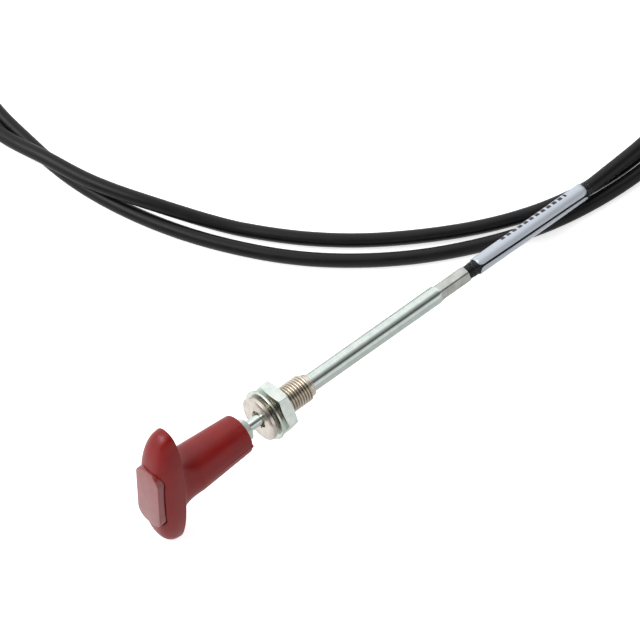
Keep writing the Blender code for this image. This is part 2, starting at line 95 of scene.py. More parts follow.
def axis_frame() -> Matrix:
    """Matrix from the axis frame to the row frame, both in millimetres.

    Returns:
        A rotation whose x is the pull axis, moved to the bar's parting line.
    """
    turn = joint("handle_turn")
    along = -Vector(turn["axis"]).normalized()
    side = Vector((0.0, 1.0, 0.0))
    matrix = Matrix((along, side, along.cross(side))).transposed().to_4x4()
    return Matrix.Translation(Vector(turn["pos_m"]) / MM) @ matrix


HANDLE_ROLL = 9.0
AXIS = axis_frame()
HANDLE = AXIS @ Matrix.Rotation(radians(-HANDLE_ROLL), 4, "X")
TABLE = Matrix.Translation((AXIS.translation.x, 0.0, 0.0))


# ---------------------------------------------------------------- material tools

def linear(code: str) -> tuple[float, float, float, float]:
    """Turn an sRGB hex colour to linear values.

    Args:
        code: six hex digits, with or without a leading #.

    Returns:
        Red, green, blue and an alpha of 1.
    """
    digits = code.lstrip("#")
    values = []
    for start in (0, 2, 4):
        part = int(digits[start:start + 2], 16) / 255.0
        values.append(part / 12.92 if part <= 0.04045 else ((part + 0.055) / 1.055) ** 2.4)
    return (values[0], values[1], values[2], 1.0)


def add_node(tree: bpy.types.NodeTree, kind: str, settings: Optional[dict[Any, Any]] = None,
             links: Optional[dict[Any, Socket]] = None) -> bpy.types.Node:
    """Add a node with its settings and links.

    Args:
        tree: the node tree it goes to.
        kind: the node's Blender type.
        settings: node properties by name, or socket values by index or "in:" name.
        links: output sockets by the input's index or name.

    Returns:
        The new node.
    """
    made = tree.nodes.new(kind)
    for key, value in (settings or {}).items():
        if isinstance(key, int):
            made.inputs[key].default_value = value
        elif key.startswith("in:"):
            made.inputs[key[3:]].default_value = value
        else:
            setattr(made, key, value)
    for key, source in (links or {}).items():
        tree.links.new(source, made.inputs[key])
    return made


class Graph:
    """A node tree with short ways to add the nodes that the finishes share."""

    def __init__(self, tree: bpy.types.NodeTree) -> None:
        """Keep the tree that the nodes go to."""
        self.tree = tree

    def node(self, kind: str, settings: Optional[dict[Any, Any]] = None,
             links: Optional[dict[Any, Socket]] = None) -> bpy.types.Node:
        """Add any shader node; see add_node."""
        return add_node(self.tree, "ShaderNode" + kind, settings, links)

    def feed(self, **inputs: Any) -> None:
        """Set or link inputs of the Principled shader, with _ for each space in a name."""
        shader = self.tree.nodes["Principled BSDF"]
        for key, value in inputs.items():
            socket = shader.inputs[key.replace("_", " ")]
            if isinstance(value, Socket):
                self.tree.links.new(value, socket)
            else:
                socket.default_value = value

    def coords(self, place: Matrix, stretch: Point = (1.0, 1.0, 1.0)
               ) -> Socket:
        """Object coordinates turned to a frame's own millimetres.

        Args:
            place: the frame's matrix in millimetres.
            stretch: factor on each of the frame's axes.

        Returns:
            The socket with the point in that frame.
        """
        source = self.node("TexCoord")
        back = place.inverted()
        turned = self.node("Mapping", {"in:Location": back.translation,
                                       "in:Rotation": back.to_euler(),
                                       "in:Scale": (1 / MM, 1 / MM, 1 / MM)},
                           {"Vector": source.outputs["Object"]})
        return self.node("Mapping", {"in:Scale": stretch}, {"Vector": turned.outputs[0]}).outputs[0]

    def noise(self, point: Socket, scale: float, detail: float,
              rough: float = 0.5) -> Socket:
        """Noise with its scale in 1/mm."""
        return self.node("TexNoise", {"in:Scale": scale, "in:Detail": detail,
                                      "in:Roughness": rough}, {"Vector": point}).outputs[0]

    def ramp(self, value: Socket, low: float, first: str, high: float,
             second: str) -> Socket:
        """Blend from one hex colour at low to another at high."""
        made = self.node("ValToRGB", None, {0: value})
        for stop, spot, colour in zip(made.color_ramp.elements, (low, high), (first, second)):
            stop.position, stop.color = spot, linear(colour)
        return made.outputs[0]

    def remap(self, value: Socket, source: Span, target: Span,
              smooth: bool = False) -> Socket:
        """Map one range to another, held at its ends."""
        return self.node("MapRange", {
            "interpolation_type": "SMOOTHSTEP" if smooth else "LINEAR",
            "in:From Min": source[0], "in:From Max": source[1],
            "in:To Min": target[0], "in:To Max": target[1]}, {"Value": value}).outputs[0]

    def maths(self, operation: str, first: Socket,
              second: Any = None) -> Socket:
        """Combine a socket with another socket or with a number."""
        wired = isinstance(second, Socket)
        settings: dict[Any, Any] = {"operation": operation}
        if second is not None and not wired:
            settings[1] = float(second)
        return self.node("Math", settings, {0: first, 1: second} if wired else {0: first}
                         ).outputs[0]

    def vector(self, operation: str, point: Socket,
               second: Any = None) -> bpy.types.Node:
        """A vector calculation on a point, with a constant vector if it needs one."""
        settings = {"operation": operation}
        return self.node("VectorMath", settings if second is None else {**settings, 1: second},
                         {0: point})

    def mix(self, share: Socket, first: Any, second: str) -> Socket:
        """Blend a colour or socket towards a second hex colour."""
        wired = isinstance(first, Socket)
        settings: dict[Any, Any] = {"data_type": "RGBA", 7: linear(second)}
        if not wired:
            settings[6] = linear(first)
        return self.node("Mix", settings, {0: share, 6: first} if wired else {0: share}
                         ).outputs[2]

    def axes(self, point: Socket) -> bpy.types.NodeOutputs:
        """The three parts of a vector."""
        return self.node("SeparateXYZ", None, {0: point}).outputs

    def bump(self, height: Socket, strength: float, depth: float = 0.0001,
             under: Optional[Socket] = None,
             invert: bool = False) -> Socket:
        """Bump of a depth in metres, on top of another normal if there is one."""
        links = {"Height": height} if under is None else {"Height": height, "Normal": under}
        return self.node("Bump", {"in:Strength": strength, "in:Distance": depth,
                                  "invert": invert}, links).outputs[0]


# ---------------------------------------------------------------- finishes

@dataclass(frozen=True)
class Finish:
    """A material that is made once and shared by its pieces."""

    name: str

    def material(self) -> bpy.types.Material:
        """Return the material, and build it the first time."""
        if self.name not in bpy.data.materials:
            made = bpy.data.materials.new(self.name)
            made.use_nodes = True
            self.lay(Graph(made.node_tree))
        return bpy.data.materials[self.name]

    def lay(self, graph: Graph) -> None:
        """Add the finish's own nodes."""
        raise NotImplementedError


@dataclass(frozen=True)
class MouldedRed(Finish):
    """Injection-moulded ABS, spark-eroded satin tool: broad soft highlights.

    Drag marks of the tool run along the stem's end, and the grain breaks up the gloss.
    """

    name: str = "moulded_red_abs"
    colour: str = "#840908"
    deep: str = "#7A0807"
    roughness: float = 0.34
    grain_mm: float = 0.35
    marks_from: Span = (22.0, 42.0)

    def lay(self, graph: Graph) -> None:
        """Add the finish's own nodes."""
        point = graph.coords(HANDLE)
        cloud = graph.noise(point, 0.11, 4.0)
        graph.feed(Base_Color=graph.ramp(cloud, 0.30, self.deep, 0.66, self.colour))
        graph.feed(Roughness=graph.remap(cloud, (0.3, 0.7), (
            self.roughness - 0.06, self.roughness + 0.07)))
        # drag marks about 1 mm apart, only on the last third of the stem
        marks = graph.noise(graph.coords(HANDLE, (0.035, 1.0, 1.0)), 1.1, 5.0, 0.6)
        near_end = graph.remap(graph.axes(point)[0], self.marks_from, (0.0, 1.0), smooth=True)
        drawn = graph.bump(graph.maths("MULTIPLY", marks, near_end), 0.6, 0.0005)
        grain = graph.noise(point, 1.0 / self.grain_mm, 3.0)
        graph.feed(Normal=graph.bump(grain, 0.10, under=drawn), IOR=1.53,
                   Specular_IOR_Level=0.38)


@dataclass(frozen=True)
class PadRed(Finish):
    """The same ABS on the pad: finer grain, one faint curved ejector mark on its face."""

    name: str = "moulded_red_abs_pad"
    colour: str = "#840908"
    mark: str = "#5C0A0E"
    roughness: float = 0.40
    mark_radius: float = 11.5
    mark_spot: Point = (0.0, 9.0, -4.0)

    def lay(self, graph: Graph) -> None:
        """Add the finish's own nodes."""
        point = graph.coords(HANDLE)
        graph.feed(Roughness=graph.remap(graph.noise(point, 0.16, 3.0), (0.3, 0.7),
                                         (self.roughness - 0.05, self.roughness + 0.06)))
        # arc of a circle about a point beside the pad, a hair deep and 0.25 mm wide
        centred = graph.node("Mapping", {"in:Location": self.mark_spot,
                                         "in:Scale": (0.0, 1.0, 1.0)}, {"Vector": point})
        far = graph.vector("LENGTH", centred.outputs[0]).outputs["Value"]
        off = graph.maths("ABSOLUTE", graph.maths("SUBTRACT", far, self.mark_radius))
        height = graph.axes(point)[2]
        ends = graph.maths("MULTIPLY", graph.remap(height, (-9.5, -7.5), (0.0, 1.0)),
                           graph.remap(height, (4.0, 7.0), (1.0, 0.0)))
        arc = graph.maths("MULTIPLY", graph.remap(off, (0.08, 0.28), (1.0, 0.0), smooth=True),
                          ends)
        grain = graph.bump(graph.noise(point, 3.2, 3.0), 0.08)
        graph.feed(Base_Color=graph.mix(arc, self.colour, self.mark),
                   Normal=graph.bump(arc, 0.5, under=grain, invert=True), IOR=1.53,
                   Specular_IOR_Level=0.85, Coat_Weight=0.7, Coat_Roughness=0.32)


@dataclass(frozen=True)
class PlatedMetal(Finish):
    """Plated or drawn metal: a mirror layer over the marks of the tool that made it.

    Rings about the pull axis stand for turning marks, streaks along it for drawing,
    and a slow cloud for the passivation's change of tint.
    """

    colour: str
    tint: str
    roughness: float
    rings_mm: float = 0.0
    streaks: bool = False
    bump: float = 0.05
    mottle: float = 0.05
    # radius under which shade is painted into a thread's root, and the colour of that painted shade
    root_shade_radius: float = 0.0
    root_shade_colour: str = "#6A5F52"
    place: Optional[Matrix] = None

    def lay(self, graph: Graph) -> None:
        """Add the finish's own nodes."""
        home = AXIS if self.place is None else self.place
        point = graph.coords(home)
        shade = graph.ramp(graph.noise(point, 0.22, 5.0, 0.6), 0.32, self.tint, 0.62,
                           self.colour)
        if self.root_shade_radius > 0.0:
            # painted shade: the colour darkens towards the thread's root, where the flanks shade
            # each other
            spoke = graph.vector("MULTIPLY", point, (0.0, 1.0, 1.0)).outputs[0]
            reach = graph.vector("LENGTH", spoke).outputs["Value"]
            root_shaded = graph.remap(reach, (self.root_shade_radius, self.root_shade_radius + 0.55),
                                 (1.0, 0.0))
            threaded = graph.maths("GREATER_THAN", reach, self.root_shade_radius - 0.10)
            shade = graph.mix(graph.maths("MULTIPLY", root_shaded, threaded), shade, self.root_shade_colour)
        speck = graph.noise(point, 2.4, 4.0)
        graph.feed(Base_Color=shade, Metallic=1.0, Roughness=graph.remap(
            speck, (0.3, 0.7), (max(0.02, self.roughness - self.mottle),
                                self.roughness + self.mottle)))
        height = speck
        if self.rings_mm > 0.0:
            # feed marks of the lathe, drawn coarser than the real 0.1 mm so that they show
            height = graph.node("TexWave", {
                "wave_type": "RINGS", "rings_direction": "X",
                "in:Scale": 0.314 / self.rings_mm, "in:Distortion": 0.6, "in:Detail": 2.0,
                "in:Detail Scale": 0.4}, {"Vector": point}).outputs["Fac"]
        elif self.streaks:
            height = graph.noise(graph.coords(home, (0.02, 1.0, 1.0)), 2.2, 4.0)
        graph.feed(Normal=graph.bump(height, self.bump))


@dataclass(frozen=True)
class Polymer(Finish):
    """Extruded or moulded polymer: even colour, fine bloom of dust, soft gloss."""

    colour: str
    bloom: str
    roughness: float
    grain_mm: float = 0.5
    bump: float = 0.06

    def lay(self, graph: Graph) -> None:
        """Add the finish's own nodes."""
        point = graph.coords(AXIS)
        cloud = graph.noise(point, 0.09, 6.0, 0.65)
        grain = graph.noise(point, 1.0 / self.grain_mm, 3.0)
        graph.feed(Base_Color=graph.ramp(cloud, 0.42, self.colour, 0.78, self.bloom),
                   Roughness=graph.remap(cloud, (0.3, 0.7), (
                       self.roughness - 0.05, self.roughness + 0.08)),
                   Normal=graph.bump(grain, self.bump), IOR=1.5, Specular_IOR_Level=0.32)


@dataclass(frozen=True)
class PrintedLabel(Finish):
    """Metallised polyester label: cool silver-white, with a row of plain dark bars.

    The sheet's own UV map runs from 0 to 1 along the cable and once round it.
    """

    name: str = "silver_polyester_label"
    paper: str = "#C3C9D2"
    ink: str = "#2A2E36"
    roughness: float = 0.36
    bars: int = 19
    row: float = 0.752
    half_row: float = 0.055
    run: Span = (0.26, 0.86)

    def lay(self, graph: Graph) -> None:
        """Add the finish's own nodes."""
        sheet = graph.axes(graph.node("UVMap", {"uv_map": "sheet"}).outputs[0])
        step = graph.maths("FRACT", graph.maths("MULTIPLY", sheet[0], self.bars))
        off = graph.maths("ABSOLUTE", graph.maths("SUBTRACT", sheet[1], self.row))
        printed = graph.maths("LESS_THAN", step, 0.62)
        for mask in (graph.maths("LESS_THAN", off, self.half_row),
                     graph.maths("GREATER_THAN", sheet[0], self.run[0]),
                     graph.maths("LESS_THAN", sheet[0], self.run[1])):
            printed = graph.maths("MULTIPLY", printed, mask)
        cloud = graph.noise(graph.coords(AXIS), 0.3, 4.0)
        graph.feed(Roughness=graph.remap(cloud, (0.3, 0.7), (0.28, self.roughness + 0.08)),
                   Base_Color=graph.mix(printed, self.paper, self.ink),
                   Normal=graph.bump(cloud, 0.12, 0.0002), Metallic=0.35)


@dataclass(frozen=True)
class ClearFilm(Finish):
    """Clear adhesive film that laps past the label's ends."""

    name: str = "clear_polyester_film"

    def lay(self, graph: Graph) -> None:
        """Add the finish's own nodes."""
        haze = graph.noise(graph.coords(AXIS), 1.2, 3.0)
        graph.feed(Roughness=graph.remap(haze, (0.0, 1.0), (0.08, 0.22)), IOR=1.5, Alpha=0.30,
                   Base_Color=linear("#2C2F32"))


@dataclass(frozen=True)
class PaleFloor(Finish):
    """Matt white studio sweep: overexposed to the camera, a quieter grey in polished metal."""

    name: str = "white_sweep"
    colour: str = "#F4F4F4"
    glow: Span = (0.30, 0.66)
    mirrored: Span = (0.60, 1.05)
    shade_from: Span = (-0.012, 0.004)

    def lay(self, graph: Graph) -> None:
        """Add the finish's own nodes."""
        ray = graph.node("LightPath").outputs
        graph.feed(Base_Color=linear(self.colour), Roughness=0.9, Specular_IOR_Level=0.1,
                   Emission_Color=(1.0, 1.0, 1.0, 1.0),
                   Emission_Strength=graph.remap(ray["Is Camera Ray"], (0.0, 1.0), self.glow))
        across = graph.axes(graph.node("TexCoord").outputs["Object"])[1]
        quiet = graph.node("Emission", None, {"Strength": graph.remap(
            across, self.shade_from, self.mirrored)})
        shader = graph.tree.nodes["Principled BSDF"]
        mix = graph.node("MixShader", None, {0: ray["Is Glossy Ray"], 1: shader.outputs[0],
                                             2: quiet.outputs[0]})
        graph.tree.links.new(mix.outputs[0],
                             graph.tree.nodes["Material Output"].inputs["Surface"])


RED = MouldedRed()
PAD = PadRed()
NUT_ZINC = PlatedMetal("clear_passivated_zinc", "#E3E8DF", "#CFDAD6", 0.22, bump=0.06, mottle=0.07)
TUBE_ZINC = PlatedMetal("drawn_tube_zinc", "#DBE4DE", "#CBD6D2", 0.13, streaks=True, bump=0.05,
                        mottle=0.03)
CRIMP_ZINC = PlatedMetal("pressed_zinc", "#C9CCC6", "#B0B3AC", 0.30, bump=0.12, mottle=0.06)
NICKEL = PlatedMetal("turned_nickel", "#E0D9D0", "#CFC6BC", 0.22, rings_mm=0.32, bump=0.12,
                     mottle=0.05)
# the thread's root gets painted shade, darker under the given radius
THREAD_NICKEL = PlatedMetal("cut_thread_nickel", "#E4DACB", "#D2C7B6", 0.26, bump=0.04,
                            mottle=0.04, root_shade_radius=6.15)
STEEL = PlatedMetal("spring_steel", "#B5B6B8", "#9EA0A4", 0.28, streaks=True, bump=0.08)
BRASS = PlatedMetal("turned_brass", "#C9A35A", "#B48C46", 0.30, rings_mm=0.4, bump=0.10)
PVC = Polymer("black_extruded_pvc", "#0A0A0B", "#111113", 0.38, 0.5, 0.05)
RUBBER = Polymer("black_rubber", "#19191A", "#262627", 0.62, 0.4, 0.12)
NYLON = Polymer("natural_nylon", "#D8D4C6", "#E2DFD4", 0.45, 0.6, 0.05)
LABEL = PrintedLabel()
FILM = ClearFilm()


# ---------------------------------------------------------------- mesh tools

def bake(made: Piece) -> None:
    """Apply an object's modifiers to its mesh."""
    bpy.context.view_layer.update()
    ready = made.evaluated_get(bpy.context.evaluated_depsgraph_get())
    mesh = bpy.data.meshes.new_from_object(ready)
    old = made.data
    made.modifiers.clear()
    made.data = mesh
    bpy.data.meshes.remove(old)


def linked(name: str, data: Any) -> Piece:
    """Put an object with some data in the scene."""
    made = bpy.data.objects.new(name, data)
    bpy.context.scene.collection.objects.link(made)
    return made


def meshed(bm: Shape, name: str) -> bpy.types.Mesh:
    """Turn a bmesh to a mesh and free it."""
    mesh = bpy.data.meshes.new(name)
    bm.to_mesh(mesh)
    bm.free()
    return mesh


def loose(bm: Shape, name: str) -> Piece:
    """Put a bmesh in millimetres on a helper object, which is removed after use."""
    bmesh.ops.recalc_face_normals(bm, faces=bm.faces)
    return linked(name, meshed(bm, name))


def drop(made: Piece) -> None:
    """Remove a helper object and its mesh."""
    spare = made.data
    bpy.data.objects.remove(made)
    bpy.data.meshes.remove(spare)


def combine(target: Piece, cutter: Piece, operation: str) -> None:
    """Cut, join or keep the common part of two helper objects, and drop the cutter."""
    step = target.modifiers.new(cutter.name, "BOOLEAN")
    step.operation = operation
    step.solver = "EXACT"
    step.object = cutter
    bake(target)
    drop(cutter)


def taken(made: Piece) -> Shape:
    """Take a helper object's mesh back to a bmesh and remove the object."""
    bm = bmesh.new()
    bm.from_mesh(made.data)
    drop(made)
    return bm


def on_x(bm: Shape) -> None:
    """Turn a shape made about z so that it stands about x."""
    bmesh.ops.rotate(bm, verts=bm.verts, matrix=Matrix.Rotation(radians(90), 3, "Y"))


def bevel(bm: Shape, edges: list[bmesh.types.BMEdge], width: float,
          segments: int) -> None:
    """Round some edges."""
    bmesh.ops.bevel(bm, geom=edges, offset=width, offset_type="OFFSET", segments=segments,
                    profile=0.5, affect="EDGES", clamp_overlap=True, material=-1)


def spun(profile: Profile, sides: int = 96) -> Shape:
    """Turn a profile about x.

    Args:
        profile: (x, radius) points. A profile that starts off the axis is closed to a ring.
        sides: facets round the piece.

    Returns:
        The closed surface.
    """
    bm = bmesh.new()
    verts = [bm.verts.new((x, 0.0, radius)) for x, radius in profile]
    edges = [bm.edges.new(pair) for pair in zip(verts, verts[1:])]
    if profile[0][1] > 0.0:
        edges.append(bm.edges.new((verts[-1], verts[0])))
    bmesh.ops.spin(bm, geom=verts + edges, cent=(0, 0, 0), axis=(1, 0, 0),
                   angle=2.0 * pi, steps=sides, use_merge=True)
    bmesh.ops.remove_doubles(bm, verts=bm.verts, dist=1e-4)
    bmesh.ops.recalc_face_normals(bm, faces=bm.faces)
    return bm


def soften(bm: Shape, width: float, segments: int = 2, angle: float = 40.0) -> None:
    """Round the edges of a bmesh that are sharper than an angle, in degrees."""
    edges = [edge for edge in bm.edges
             if len(edge.link_faces) == 2 and edge.calc_face_angle(0.0) > radians(angle)]
    bevel(bm, edges, width, segments)


def reshape(bm: Shape, move: Callable[[float, float, float], float]) -> None:
    """Set each vertex's distance from the axis.

    Args:
        bm: a turned piece.
        move: gives the new radius from x, the radius and the angle about x.
    """
    for vert in bm.verts:
        x, y, z = vert.co
        radius = hypot(y, z)
        if radius > 1e-6:
            scale = move(x, radius, atan2(z, y)) / radius
            vert.co = (x, y * scale, z * scale)


def hex_radius(turn: float, flats: float, first: float, corner: float) -> float:
    """Distance of a hexagon's outline from its centre.

    Args:
        turn: angle about x in radians.
        flats: size across flats.
        first: angle of one corner in degrees.
        corner: rounded size across corners.

    Returns:
        The distance at that angle.
    """
    off = (degrees(turn) - first + 30.0) % 60.0 - 30.0
    return min(flats / 2.0 / cos(radians(30.0 - abs(off))), corner / 2.0)


def place(bm: Shape, name: str, home: Matrix, finish: Any, slot: Slot, body: Body,
          stands_for: Iterable[str] = (), sharp: float = 35.0) -> Piece:
    """Make a finished piece of a bmesh and let it ride on its body.

    Args:
        bm: the shape, in millimetres of the home frame. It is freed.
        name: the piece's name.
        home: matrix from that frame to the row frame, in millimetres.
        finish: the finish that gives its material.
        slot: the record's slot of the finish; not used.
        body: the body that it rides on.
        stands_for: CAD nodes that it replaces.
        sharp: angle in degrees above which an edge is shaded sharp.

    Returns:
        The piece, at the origin with its place in its mesh.
    """
    bmesh.ops.transform(bm, matrix=Matrix.Scale(MM, 4) @ home, verts=bm.verts)
    bmesh.ops.recalc_face_normals(bm, faces=bm.faces)
    mesh = meshed(bm, name)
    mesh.shade_smooth()
    mesh.set_sharp_from_angle(angle=radians(sharp))
    mesh.materials.append(finish.material())
    made = linked(name, mesh)
    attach(made, body.value)
    if stands_for:
        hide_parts(*stands_for)
    log.info("%s: %d faces on %s", name, len(mesh.polygons), body.value)
    return made


def dress(node: str, finish: Any) -> None:
    """Give a CAD node that stays its finish."""
    piece = frame["nodes"][node]
    piece.data.materials.clear()
    piece.data.materials.append(finish.material())
    log.info("%s: CAD shape kept", node)


def rounded_outline(length: float, width: float, corner: float, steps: int) -> list[Vector]:
    """Points of a rounded rectangle across x, its long side along z."""
    points = []
    for side_y, side_z, first in ((1, 1, 0), (-1, 1, 90), (-1, -1, 180), (1, -1, 270)):
        for k in range(steps + 1):
            turn = radians(first + 90.0 * k / steps)
            points.append(Vector((0.0, side_y * (width / 2 - corner) + corner * cos(turn),
                                  side_z * (length / 2 - corner) + corner * sin(turn))))
    return points


def plate(start: float, end: float, length: float, width: float, corner: float,
          steps: int = 10) -> Shape:
    """A plate across x with a rounded outline, extruded from its first face."""
    bm = bmesh.new()
    outline = [bm.verts.new(point + Vector((start, 0, 0)))
               for point in rounded_outline(length, width, corner, steps)]
    face = bm.faces.new(outline)
    grown = bmesh.ops.extrude_face_region(bm, geom=[face])
    moved = [item for item in grown["geom"] if isinstance(item, bmesh.types.BMVert)]
    bmesh.ops.translate(bm, verts=moved, vec=(end - start, 0, 0))
    bmesh.ops.recalc_face_normals(bm, faces=bm.faces)
    return bm


# ---------------------------------------------------------------- handle

@dataclass
class TeeHandle:
    """Moulded T handle with its pad and its threaded insert."""

    bar_length: float = 76.0
    bar_width: float = 23.0
    front: float = 13.0
    back: float = 2.5
    fullness: float = 2.5
    crown: float = 2.4
    stem_end: float = 43.3
    root_radius: float = 12.2
    end_radius: float = 10.2
    root: float = 12.0
    spread: float = 11.0
    pad_length: float = 37.0
    pad_width: float = 16.0
    pad_corner: float = 6.0
    pad_face: float = 13.2
    pad_seat: float = 7.6
    room: float = 0.3
    insert_radius: float = 4.6
    insert_length: float = 22.0
    voxel: float = 0.40
    rim_height: float = 0.22
    rib_angle: float = 180.0

    def bar(self) -> Shape:
        """The boat-shaped bar: a ball drawn out along z, full in front, nearly flat behind."""
        bm = bmesh.new()
        bmesh.ops.create_uvsphere(bm, u_segments=96, v_segments=64, radius=1.0)
        on_x(bm)
        for vert in bm.verts:
            x, y, z = vert.co
            rim = hypot(y, z)
            if rim > 1e-6:
                power = self.fullness
                swell = rim / (abs(y) ** power + abs(z) ** power) ** (1.0 / power)
                y, z = y * swell, z * swell
            if x < 0.0:
                bulge = max(0.0, 1.0 - min(1.0, rim) ** self.crown) ** (1.0 / self.crown)
                x = -self.front * bulge
            else:
                x = x * self.back
            vert.co = (x, y * self.bar_width / 2, z * self.bar_length / 2)
        return bm

    def stem(self) -> Shape:
        """The tapered stem, extruded ring by ring, which spreads along the bar at its root."""
        rings = [(0.5, self.root_radius - 1.0, self.root_radius + self.spread)]
        for step in range(1, 9):
            share = step / 8.0
            flare = self.spread * (1.0 - sqrt(1.0 - (1.0 - share) ** 2))
            rings.append((0.5 + (self.root - 0.5) * share, self.root_radius - 1.0 + share,
                          self.root_radius + flare))
        rings.append((self.stem_end - 0.9, self.end_radius, self.end_radius))
        rings.append((self.stem_end - 0.25, self.end_radius - 0.25, self.end_radius - 0.25))
        rings.append((self.stem_end, self.end_radius - 0.9, self.end_radius - 0.9))
        bm = bmesh.new()
        bmesh.ops.create_circle(bm, cap_ends=True, segments=96, radius=1.0)
        on_x(bm)
        bm.faces.ensure_lookup_table()
        face = bm.faces[0]
        base = [vert.co.copy() for vert in face.verts]
        for vert, point in zip(face.verts, base):
            vert.co = (rings[0][0], point.y * rings[0][1], point.z * rings[0][2])
        for x, half_width, half_length in rings[1:]:
            grown = bmesh.ops.extrude_face_region(bm, geom=[face], use_keep_orig=x == rings[1][0])
            face = next(item for item in grown["geom"] if isinstance(item, bmesh.types.BMFace))
            for vert, point in zip(face.verts, base):
                vert.co = (x, point.y * half_width, point.z * half_length)
        bmesh.ops.recalc_face_normals(bm, faces=bm.faces)
        return bm

    def moulding(self) -> Piece:
        """Bar and stem in one piece, with the pad's pocket, the insert's bore and the rim."""
        body = loose(self.bar(), "bar")
        combine(body, loose(self.stem(), "stem"), "UNION")
        pocket = plate(-self.pad_face - 5.0, -self.pad_seat, self.pad_length + 2 * self.room,
                       self.pad_width + 2 * self.room, self.pad_corner + self.room)
        combine(body, loose(pocket, "pocket"), "DIFFERENCE")
        bore = self.stem_end - self.insert_length - 2 * self.room
        combine(body, loose(spun([(bore, 0.0), (bore, self.insert_radius + self.room),
                                  (self.stem_end + 2.0, self.insert_radius + self.room),
                                  (self.stem_end + 2.0, 0.0)], 64), "bore"), "DIFFERENCE")
        skin = body.modifiers.new("skin", "REMESH")
        skin.mode = "VOXEL"
        skin.voxel_size = self.voxel
        bake(body)
        bm = taken(body)
        for _ in range(5):
            bmesh.ops.smooth_vert(bm, verts=bm.verts, factor=0.5, use_axis_x=True,
                                  use_axis_y=True, use_axis_z=True)
        self.raise_rim(bm)
        return place(bm, "handle_moulding", HANDLE, RED, Slot.RED, Body.HANDLE,
                     ["handle_grip"], sharp=70.0)

    def raise_rim(self, bm: Shape) -> None:
        """Push out the parting line's rim on the bar and the rib along the stem."""
        rib = radians(self.rib_angle)
        for vert in bm.verts:
            x, y, z = vert.co
            radius = hypot(y, z)
            oval = (abs(y) / (self.bar_width / 2)) ** 2 + (abs(z) / (self.bar_length / 2)) ** 2
            if abs(x) < 0.7 and oval > 0.9 and radius > 1.0:
                lift = self.rim_height * (1.0 - (x / 0.7) ** 2) ** 2
                vert.co += Vector((0.0, y / radius, z / radius)) * lift
            if x > self.root + 4.0 and radius > self.insert_radius + 2.0:
                away = (atan2(z, y) - rib + pi) % (2.0 * pi) - pi
                wide = away * radius / 0.45
                if abs(wide) < 1.0:
                    tall = 0.22 + (0.55 if x > self.stem_end - 1.0 else 0.0)
                    lift = tall * (1.0 - wide * wide) * min(1.0, (x - self.root - 4.0) / 14.0)
                    vert.co += Vector((0.0, y / radius, z / radius)) * lift

    def pad(self) -> Piece:
        """The pad pressed into the bar's pocket, with rounded edges."""
        bm = plate(-self.pad_face, -self.pad_seat - self.room, self.pad_length, self.pad_width,
                   self.pad_corner)
        soften(bm, 0.45, 4)
        return place(bm, "handle_pad", HANDLE, PAD, Slot.RED, Body.HANDLE, ["handle_cap"])

    def build(self) -> None:
        """Make the handle's pieces."""
        self.moulding()
        self.pad()
        dress("handle_insert", BRASS)


# ---------------------------------------------------------------- nuts and turned pieces

@dataclass
class HexNut:
    """Hexagon nut chamfered on both faces, its corners broken a hair."""

    start: float
    length: float
    flats: float
    turn: float
    bore: float
    chamfer: float
    broken: float = 0.18

    def shape(self) -> Shape:
        """The nut in the axis frame."""
        corner = self.flats / sqrt(3.0)
        bm = bmesh.new()
        bmesh.ops.create_cone(bm, cap_ends=True, segments=6, radius1=corner, radius2=corner,
                              depth=self.length,
                              matrix=Matrix.Translation((0, 0, self.length / 2)))
        corners = [edge for edge in bm.edges
                   if abs(edge.verts[0].co.z - edge.verts[1].co.z) > self.length / 2]
        bevel(bm, corners, self.broken, 3)
        on_x(bm)
        bmesh.ops.rotate(bm, verts=bm.verts,
                         matrix=Matrix.Rotation(radians(self.turn), 3, "X"))
        bmesh.ops.translate(bm, verts=bm.verts, vec=(self.start, 0, 0))
        blank = loose(bm, "blank")
        end = self.start + self.length
        low, wide = self.flats / 2 - 0.5, corner + 1.0
        cone = spun([(self.start - 1.0, 0.0), (self.start - 1.0, low - 1.8), (self.start, low),
                     (self.start + self.chamfer, corner), (self.start + self.chamfer, wide),
                     (end - self.chamfer, wide), (end - self.chamfer, corner), (end, low),
                     (end + 1.0, low - 1.8), (end + 1.0, 0.0)], 144)
        combine(blank, loose(cone, "cone"), "INTERSECT")
        hole = spun([(self.start - 3.0, 0.0), (self.start - 3.0, self.bore),
                     (end + 3.0, self.bore), (end + 3.0, 0.0)], 96)
        combine(blank, loose(hole, "hole"), "DIFFERENCE")
        return taken(blank)


@dataclass
class PullRod:
    """Zinc-plated rod with its lock nut; the last thread shows behind the nut."""

    radius: float = 2.8
    start: float = 24.0
    end: float = 138.8
    collar: float = 6.0
    step: float = 0.9
    nut: HexNut = field(default_factory=lambda: HexNut(43.6, 4.2, 10.0, 12.0, 3.1, 0.5, 0.12))

    def rod(self) -> Piece:
        """The turned rod, stepped down at its end for the collar."""
        seat = self.end - self.collar - 0.6
        bm = spun([(self.start, 0.0), (self.start, self.radius - 0.4),
                   (self.start + 0.4, self.radius), (47.9, self.radius), (48.3, self.radius - 0.25),
                   (48.9, self.radius - 0.25), (49.3, self.radius), (seat, self.radius),
                   (seat, self.radius - self.step), (self.end, self.radius - self.step),
                   (self.end, 1.05), (self.end - 10.3, 1.05), (self.end - 10.3, 0.0)], 64)
        return place(bm, "plated_rod", AXIS, TUBE_ZINC, Slot.ZINC, Body.HANDLE, ["pull_rod"])

    def build(self) -> None:
        """Make the rod's pieces."""
        self.rod()
        place(self.nut.shape(), "rod_lock_nut", AXIS, NUT_ZINC, Slot.ZINC, Body.HANDLE,
              ["lock_nut"], sharp=20.0)
        dress("stop_collar", STEEL)
        dress("inner_wire", STEEL)


